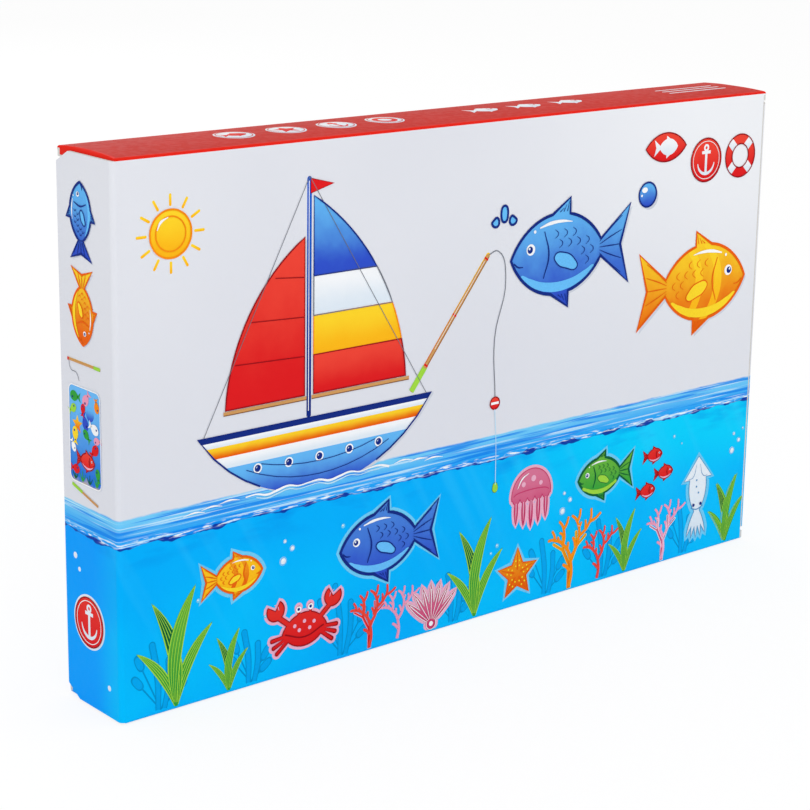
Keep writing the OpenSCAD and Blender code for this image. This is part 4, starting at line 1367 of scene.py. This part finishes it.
class CARTON_OT_draw_plants(bpy.types.Operator):
    """Draw the veins of the weeds, marks on the corals, pale plants behind them and the bubbles"""

    bl_idname = "carton.draw_plants"
    bl_label = "Draw the plants and the bubbles"

    def execute(self, context):
        pad = Pad("front", "plants")
        for seen in figures("green_print", "front"):
            if seen.low.y < ROOTED:
                self.draw_weed(pad, Weed(seen))
        for node, ink in (("orange_print", "yellow"), ("red_print", "rose"), ("pink_print", "white")):
            for coral in figures(node, "front"):
                if coral.low.y < ROOTED:
                    pad[ink].contour(coral, 0.3)
        for share, tall in FAR_PLANTS:
            self.draw_far_plant(pad, share, tall)
        for share, up, ink in SMALL_CORALS:
            length = up * SEA_LEVEL / MM
            self.draw_coral(pad, ink, sea_place(share, 0.03), 2, length, 0.1 * length + 0.6, 3)
        for bubble in figures("white_print", "front"):
            if bubble.size.x < 5 and bubble.centre.y < SEA_LEVEL / MM:
                pad["sky_blue"].ring(bubble.centre, 0.42 * bubble.unit, 0.12 * bubble.unit)
                pad["white"].disc(bubble.mark(-0.12, 0.14), 0.14 * bubble.unit)
        for x, z, radius in SMALL_BUBBLES:
            place = sea_place(x, z)
            pad["mist"].disc(place, radius)
            pad["white"].disc((place[0] - 0.25 * radius, place[1] + 0.3 * radius), 0.35 * radius)
        pad.finish()
        return {"FINISHED"}

    def draw_weed(self, pad, weed):
        """Fine pale veins and a pale edge on each leaf, and one leaf of each weed in a darker green."""
        left, dark, front, right = SEAWEED
        veins = ((0.04, 0.011), (0.28, 0.007), (0.5, 0.007), (0.72, 0.007), (0.96, 0.011))
        nearer = []
        for leaf in (front, dark, right, left):
            if leaf is dark:
                cut = [weed.on_leaf(front, 1.0, s) for s in reversed(LEAF_STEPS)]
                cut = [place for place in cut if weed.hides(dark, place)]
                inner, outer = (weed.runs(dark, share, nearer)[-1] for share in (0.04, 0.96))
                pad["dark_green"].shape([*inner, *reversed(outer), *cut], smooth=False)
            for share, width in veins:
                for run in weed.runs(leaf, share, nearer):
                    pad["lime"].line(run, width * weed.tall, smooth=False)
            nearer.append(leaf)

    def draw_coral(self, pad, ink, root, lean, length, width, forks):
        """A branch of a coral, which forks on and on into shorter ones."""
        turn = math.radians(lean)
        tip = Vector(root) + Vector((math.sin(turn), math.cos(turn))) * length
        bend = Vector(root).lerp(tip, 0.5) + Vector((math.cos(turn), -math.sin(turn))) * 0.08 * length
        pad[ink].line([(*root, 1.1), (*bend, 1), (*tip, 0.9)], width)
        pad[ink].disc(tip, 0.45 * width)
        if forks:
            for side, reach in ((-34, 0.66), (27, 0.8)):
                self.draw_coral(pad, ink, tip, lean * 0.8 + side, reach * length, 0.9 * width, forks - 1)
            twig = Vector(root).lerp(tip, 0.55)
            turned = lean - 48 * math.copysign(1, lean)
            self.draw_coral(pad, ink, twig, turned, 0.4 * length, 0.85 * width, 0)

    def draw_far_plant(self, pad, share, tall):
        """A soft plant far off: two stalks with round heads, and oval pads on thin stems beside them."""
        root = Vector(sea_place(share, 0.03))
        for lean, part in ((-5, 1.0), (7, 0.72)):
            turn = math.radians(lean)
            foot = root + Vector((0.25 * lean, 0))
            tip = foot + Vector((math.sin(turn), math.cos(turn))) * part * tall
            bend = foot.lerp(tip, 0.5) + Vector((0.04 * tall, 0))
            for ink, width in (("teal", 3.4), ("lagoon", 2.4)):
                pad.under(ink).line([(*foot, 0.8), (*bend, 1), (*tip, 1)], width)
                pad.under(ink).disc(tip, width / 2)
        for lean, part in ((-38, 0.62), (-24, 0.85), (34, 0.6), (52, 0.42)):
            turn = math.radians(lean)
            up, aside = Vector((math.sin(turn), math.cos(turn))), Vector((math.cos(turn), -math.sin(turn)))
            middle = root + up * part * tall
            pad.under("teal").line([root, middle], 0.7)
            for ink, size in (("teal", 1.0), ("lagoon", 0.78)):
                long, wide = up * 4.2 * size, aside * 2 * size
                pad.under(ink).shape([middle + long, middle + wide, middle - long, middle - wide])


class CARTON_OT_draw_ends(bpy.types.Operator):
    """Draw the marks on both closures: fish, rod, picture card and anchor badge"""

    bl_idname = "carton.draw_ends"
    bl_label = "Draw the ends"

    def execute(self, context):
        for side in ("left", "right"):
            pad = Pad(side, side + "_end")
            swimmer = max(figures(side + "_blue_print", side), key=lambda f: f.size.y)
            draw_fish(pad, swimmer.posed(swimmer.size.y, turn=90), "navy", "sky_blue")
            diver = max(figures(side + "_orange_print", side), key=lambda f: f.size.y)
            draw_fish(pad, diver.posed(diver.size.y, turn=-90), "deep_orange", "yellow")
            for seen in (swimmer, diver):
                draw_shadow(pad, seen, (0.9, -0.9))
            reds = figures(side + "_red_print", side)
            badge = max(reds, key=lambda f: f.size.x)
            pad["white"].ring(badge.centre, 0.43 * badge.unit, 0.35)
            pad["dark_red"].contour(badge, 0.5)
            small = min(reds, key=lambda f: f.size.y)
            draw_fish(pad, small.posed(small.size.x), "dark_red", "rose", rich=False)
            card = min(figures(side + "_shallows_print", side), key=lambda f: f.size.x)
            self.draw_card(pad, card)
            self.draw_minnows(pad, side, card)
            self.draw_rods(pad, side, card)
            pad.finish(covers=printed("card_water", card_water))
        return {"FINISHED"}

    def draw_card(self, pad, card):
        """Water, pale frame and weeds of the small picture card."""
        outline = [tuple(p) for p in card.loops[0]]
        pad.between("sky_blue").shape(outline, smooth=False)
        pad["white"].line(outline, 0.5, closed=True, smooth=False)
        for i in range(4):
            root = (card.low.x + card.size.x * (0.16 + 0.23 * i), card.low.y)
            for lean in (-1, 0, 1):
                tall = (5.5 + 2 * math.sin(3 * i)) * (1 - 0.25 * abs(lean))
                stem = beside(root, (0, 1, 1), (lean, tall / 2, 0.9), (2.2 * lean, tall, 0.3))
                pad["green" if i % 2 else "dark_green"].line(stem, 0.8)

    def draw_minnows(self, pad, side, card):
        """A shoal of minnows on the card, in rows of three, but none over its packed fish."""
        inks = ("red", "yellow", "green", "pink", "orange", "ultramarine", "white", "lime")
        packed = ["_".join((side, ink, "print")) for ink in ("red", "orange", "blue")]
        taken = [seen for node in packed for seen in figures(node, side)]
        for k in range(21):
            x = 0.17 + 0.33 * (k % 3) + 0.06 * math.sin(7 * k)
            z = 0.13 + 0.125 * (k // 3) + 0.02 * math.sin(4 * k)
            spot = (card.low.x + card.size.x * x, card.low.y + card.size.y * z)
            if all((seen.centre - Vector(spot)).length > seen.size.length / 2 for seen in taken):
                draw_minnow(pad, spot, 6.4 + math.sin(5 * k), inks[k % len(inks)], 50 * k)

    def draw_rods(self, pad, side, card):
        """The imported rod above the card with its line, and a drawn one below it."""
        rod = min(figures(side + "_orange_print", side), key=lambda f: f.size.y)
        level, left, right = rod.centre.y, rod.low.x, rod.high.x
        pad["wood"].line([(left, level), (right - 5, level)], 1.1, smooth=False)
        pad["lime"].line([(right - 5, level), (right, level)], 1.5, smooth=False)
        pad["red"].line([(left, level), (left + 1.4, level)], 1.4, smooth=False)
        foot, tip = Vector((card.low.x + 1, card.low.y - 1.8)), Vector((card.high.x - 3, card.low.y - 7.2))
        pad["wood"].line([foot.lerp(tip, 0.4), tip], 1.1, smooth=False)
        pad["lime"].line([foot, foot.lerp(tip, 0.4)], 1.5, smooth=False)
        pad["grey"].line(beside((left, level), (1, 0), (2.5, -4), (7, -5), (9, -8)), 0.3)


class CARTON_OT_draw_top(bpy.types.Operator):
    """Draw fine rings and marks on the top panel's signs"""

    bl_idname = "carton.draw_top"
    bl_label = "Draw the top"

    def execute(self, context):
        pad = Pad("top", "top")
        for seen in figures("white_print", "top"):
            if 0.8 < seen.size.y / seen.size.x < 1.25:
                pad["red"].ring(seen.centre, 0.44 * seen.unit, 0.4)
            elif seen.size.y > 5:
                pad["red"].disc(seen.mark(0.34, 0.05), 0.035 * seen.unit)
                gill = seen.marks((0.23, 0.13, 0.5), (0.19, 0.0), (0.23, -0.13, 0.5))
                pad["red"].line(gill, 0.4)
        pad.finish()
        return {"FINISHED"}


# Stage

class CARTON_OT_make_stage(bpy.types.Operator):
    """Set the camera, the floor and the soft light"""

    bl_idname = "carton.make_stage"
    bl_label = "Set the stage"

    def execute(self, context):
        stage = context.scene.carton_stage
        set_camera(stage)
        lay_floor()
        light_room(stage)
        soft_box("key_box", (-1.3, -1.5, 1.5), 1.6, stage.key)
        soft_box("fill_box", (1.6, -1.4, 0.9), 1.4, stage.fill)
        soft_box("back_box", (0.5, 2.1, 1.3), 1.6, stage.back)
        return {"FINISHED"}


def set_camera(stage):
    """A camera that looks from the eye along the heading, pitch and roll."""
    data = bpy.data.cameras.new("camera")
    data.sensor_width = SENSOR_W
    data.lens = SENSOR_W * stage.focal
    data.shift_x, data.shift_y = stage.shift
    data.clip_end = 50
    camera = bpy.data.objects.new("camera", data)
    bpy.context.scene.collection.objects.link(camera)
    aim = Vector((
        math.sin(stage.heading) * math.cos(stage.pitch),
        math.cos(stage.heading) * math.cos(stage.pitch),
        -math.sin(stage.pitch),
    ))
    level = aim.to_track_quat("-Z", "Y").to_matrix().to_4x4()
    camera.matrix_world = Matrix.Translation(stage.eye) @ level @ Matrix.Rotation(stage.roll, 4, "Z")
    bpy.context.scene.camera = camera


def lay_floor():
    """A white floor that shows as bright as the background and keeps a soft shadow."""
    mesh = bmesh.new()
    below = Matrix.Translation((0, 0, -0.2 * MM))
    bmesh.ops.create_grid(mesh, x_segments=1, y_segments=1, size=6, matrix=below)
    material = bpy.data.materials.new("floor_white")
    material.use_nodes = True
    tree = material.node_tree
    tree.nodes.clear()
    matte = add(tree, "ShaderNodeBsdfDiffuse", {"Color": (0.9, 0.9, 0.9, 1)})
    glow = add(tree, "ShaderNodeEmission", {"Color": (1, 1, 1, 1), "Strength": 1.04})
    path = add(tree, "ShaderNodeLightPath")
    seen = maths(tree, "MAXIMUM", path.outputs["Is Camera Ray"], path.outputs["Is Glossy Ray"])
    share = maths(tree, "MULTIPLY", seen, 0.8)               # the rest is lit, and takes the shadow
    mixed = add(tree, "ShaderNodeMixShader", {0: share, 1: matte.outputs[0], 2: glow.outputs[0]})
    add(tree, "ShaderNodeOutputMaterial", {0: mixed.outputs[0]})
    data = bpy.data.meshes.new("floor")
    mesh.to_mesh(data)
    mesh.free()
    data.materials.append(material)
    floor = bpy.data.objects.new("floor", data)
    bpy.context.scene.collection.objects.link(floor)


def light_room(stage):
    """Even white light from all round, with a pure white background."""
    world = bpy.data.worlds.new("room")
    world.use_nodes = True
    tree = world.node_tree
    tree.nodes.clear()
    path = add(tree, "ShaderNodeLightPath")
    seen = maths(tree, "MAXIMUM", path.outputs["Is Camera Ray"], path.outputs["Is Transmission Ray"])
    lit = add(tree, "ShaderNodeBackground", {"Color": (1, 1, 1, 1), "Strength": stage.world})
    shown = add(tree, "ShaderNodeBackground", {"Color": (1, 1, 1, 1), "Strength": 1.0})
    mixed = add(tree, "ShaderNodeMixShader", {0: seen, 1: lit.outputs[0], 2: shown.outputs[0]})
    add(tree, "ShaderNodeOutputWorld", {0: mixed.outputs[0]})
    bpy.context.scene.world = world
    bpy.context.scene.view_settings.view_transform = "Standard"


def soft_box(name, place, size, power):
    """A square lamp that faces the middle of the carton."""
    middle = Vector((0, 0, 0.12))
    data = bpy.data.lights.new(name, "AREA")
    data.size = size
    data.energy = power
    lamp = bpy.data.objects.new(name, data)
    lamp.location = place
    lamp.rotation_euler = (middle - Vector(place)).to_track_quat("-Z", "Y").to_euler()
    bpy.context.scene.collection.objects.link(lamp)


class CARTON_PT_panel(bpy.types.Panel):
    """Lists the steps that dress the carton"""

    bl_idname = "CARTON_PT_panel"
    bl_label = "Printed toy carton"
    bl_space_type = "VIEW_3D"
    bl_region_type = "UI"
    bl_category = "Carton"

    def draw(self, context):
        for step in STEPS:
            self.layout.operator(step.bl_idname)


STEPS = (
    CARTON_OT_make_stage,
    CARTON_OT_finish_print_fields,
    CARTON_OT_make_end_folds,
    CARTON_OT_shade_figures,
    CARTON_OT_draw_sky,
    CARTON_OT_draw_boat,
    CARTON_OT_draw_sea,
    CARTON_OT_draw_plants,
    CARTON_OT_draw_ends,
    CARTON_OT_draw_top,
)
SETTINGS = {
    "carton_print": CartonPrintSettings,
    "carton_drawing": CartonDrawingSettings,
    "carton_stage": CartonStageSettings,
}


def register():
    """Adds the settings, the steps and their panel to Blender."""
    for kind in (*SETTINGS.values(), *STEPS, CARTON_PT_panel):
        bpy.utils.register_class(kind)
    for name, kind in SETTINGS.items():
        setattr(bpy.types.Scene, name, PointerProperty(type=kind))


def unregister():
    """Takes them out again."""
    for name in SETTINGS:
        delattr(bpy.types.Scene, name)
    for kind in (CARTON_PT_panel, *reversed(STEPS), *SETTINGS.values()):
        bpy.utils.unregister_class(kind)


def main():
    """Runs every step."""
    register()
    for step in STEPS:
        group, name = step.bl_idname.split(".")
        getattr(getattr(bpy.ops, group), name)()


if __name__ == "__main__":
    main()
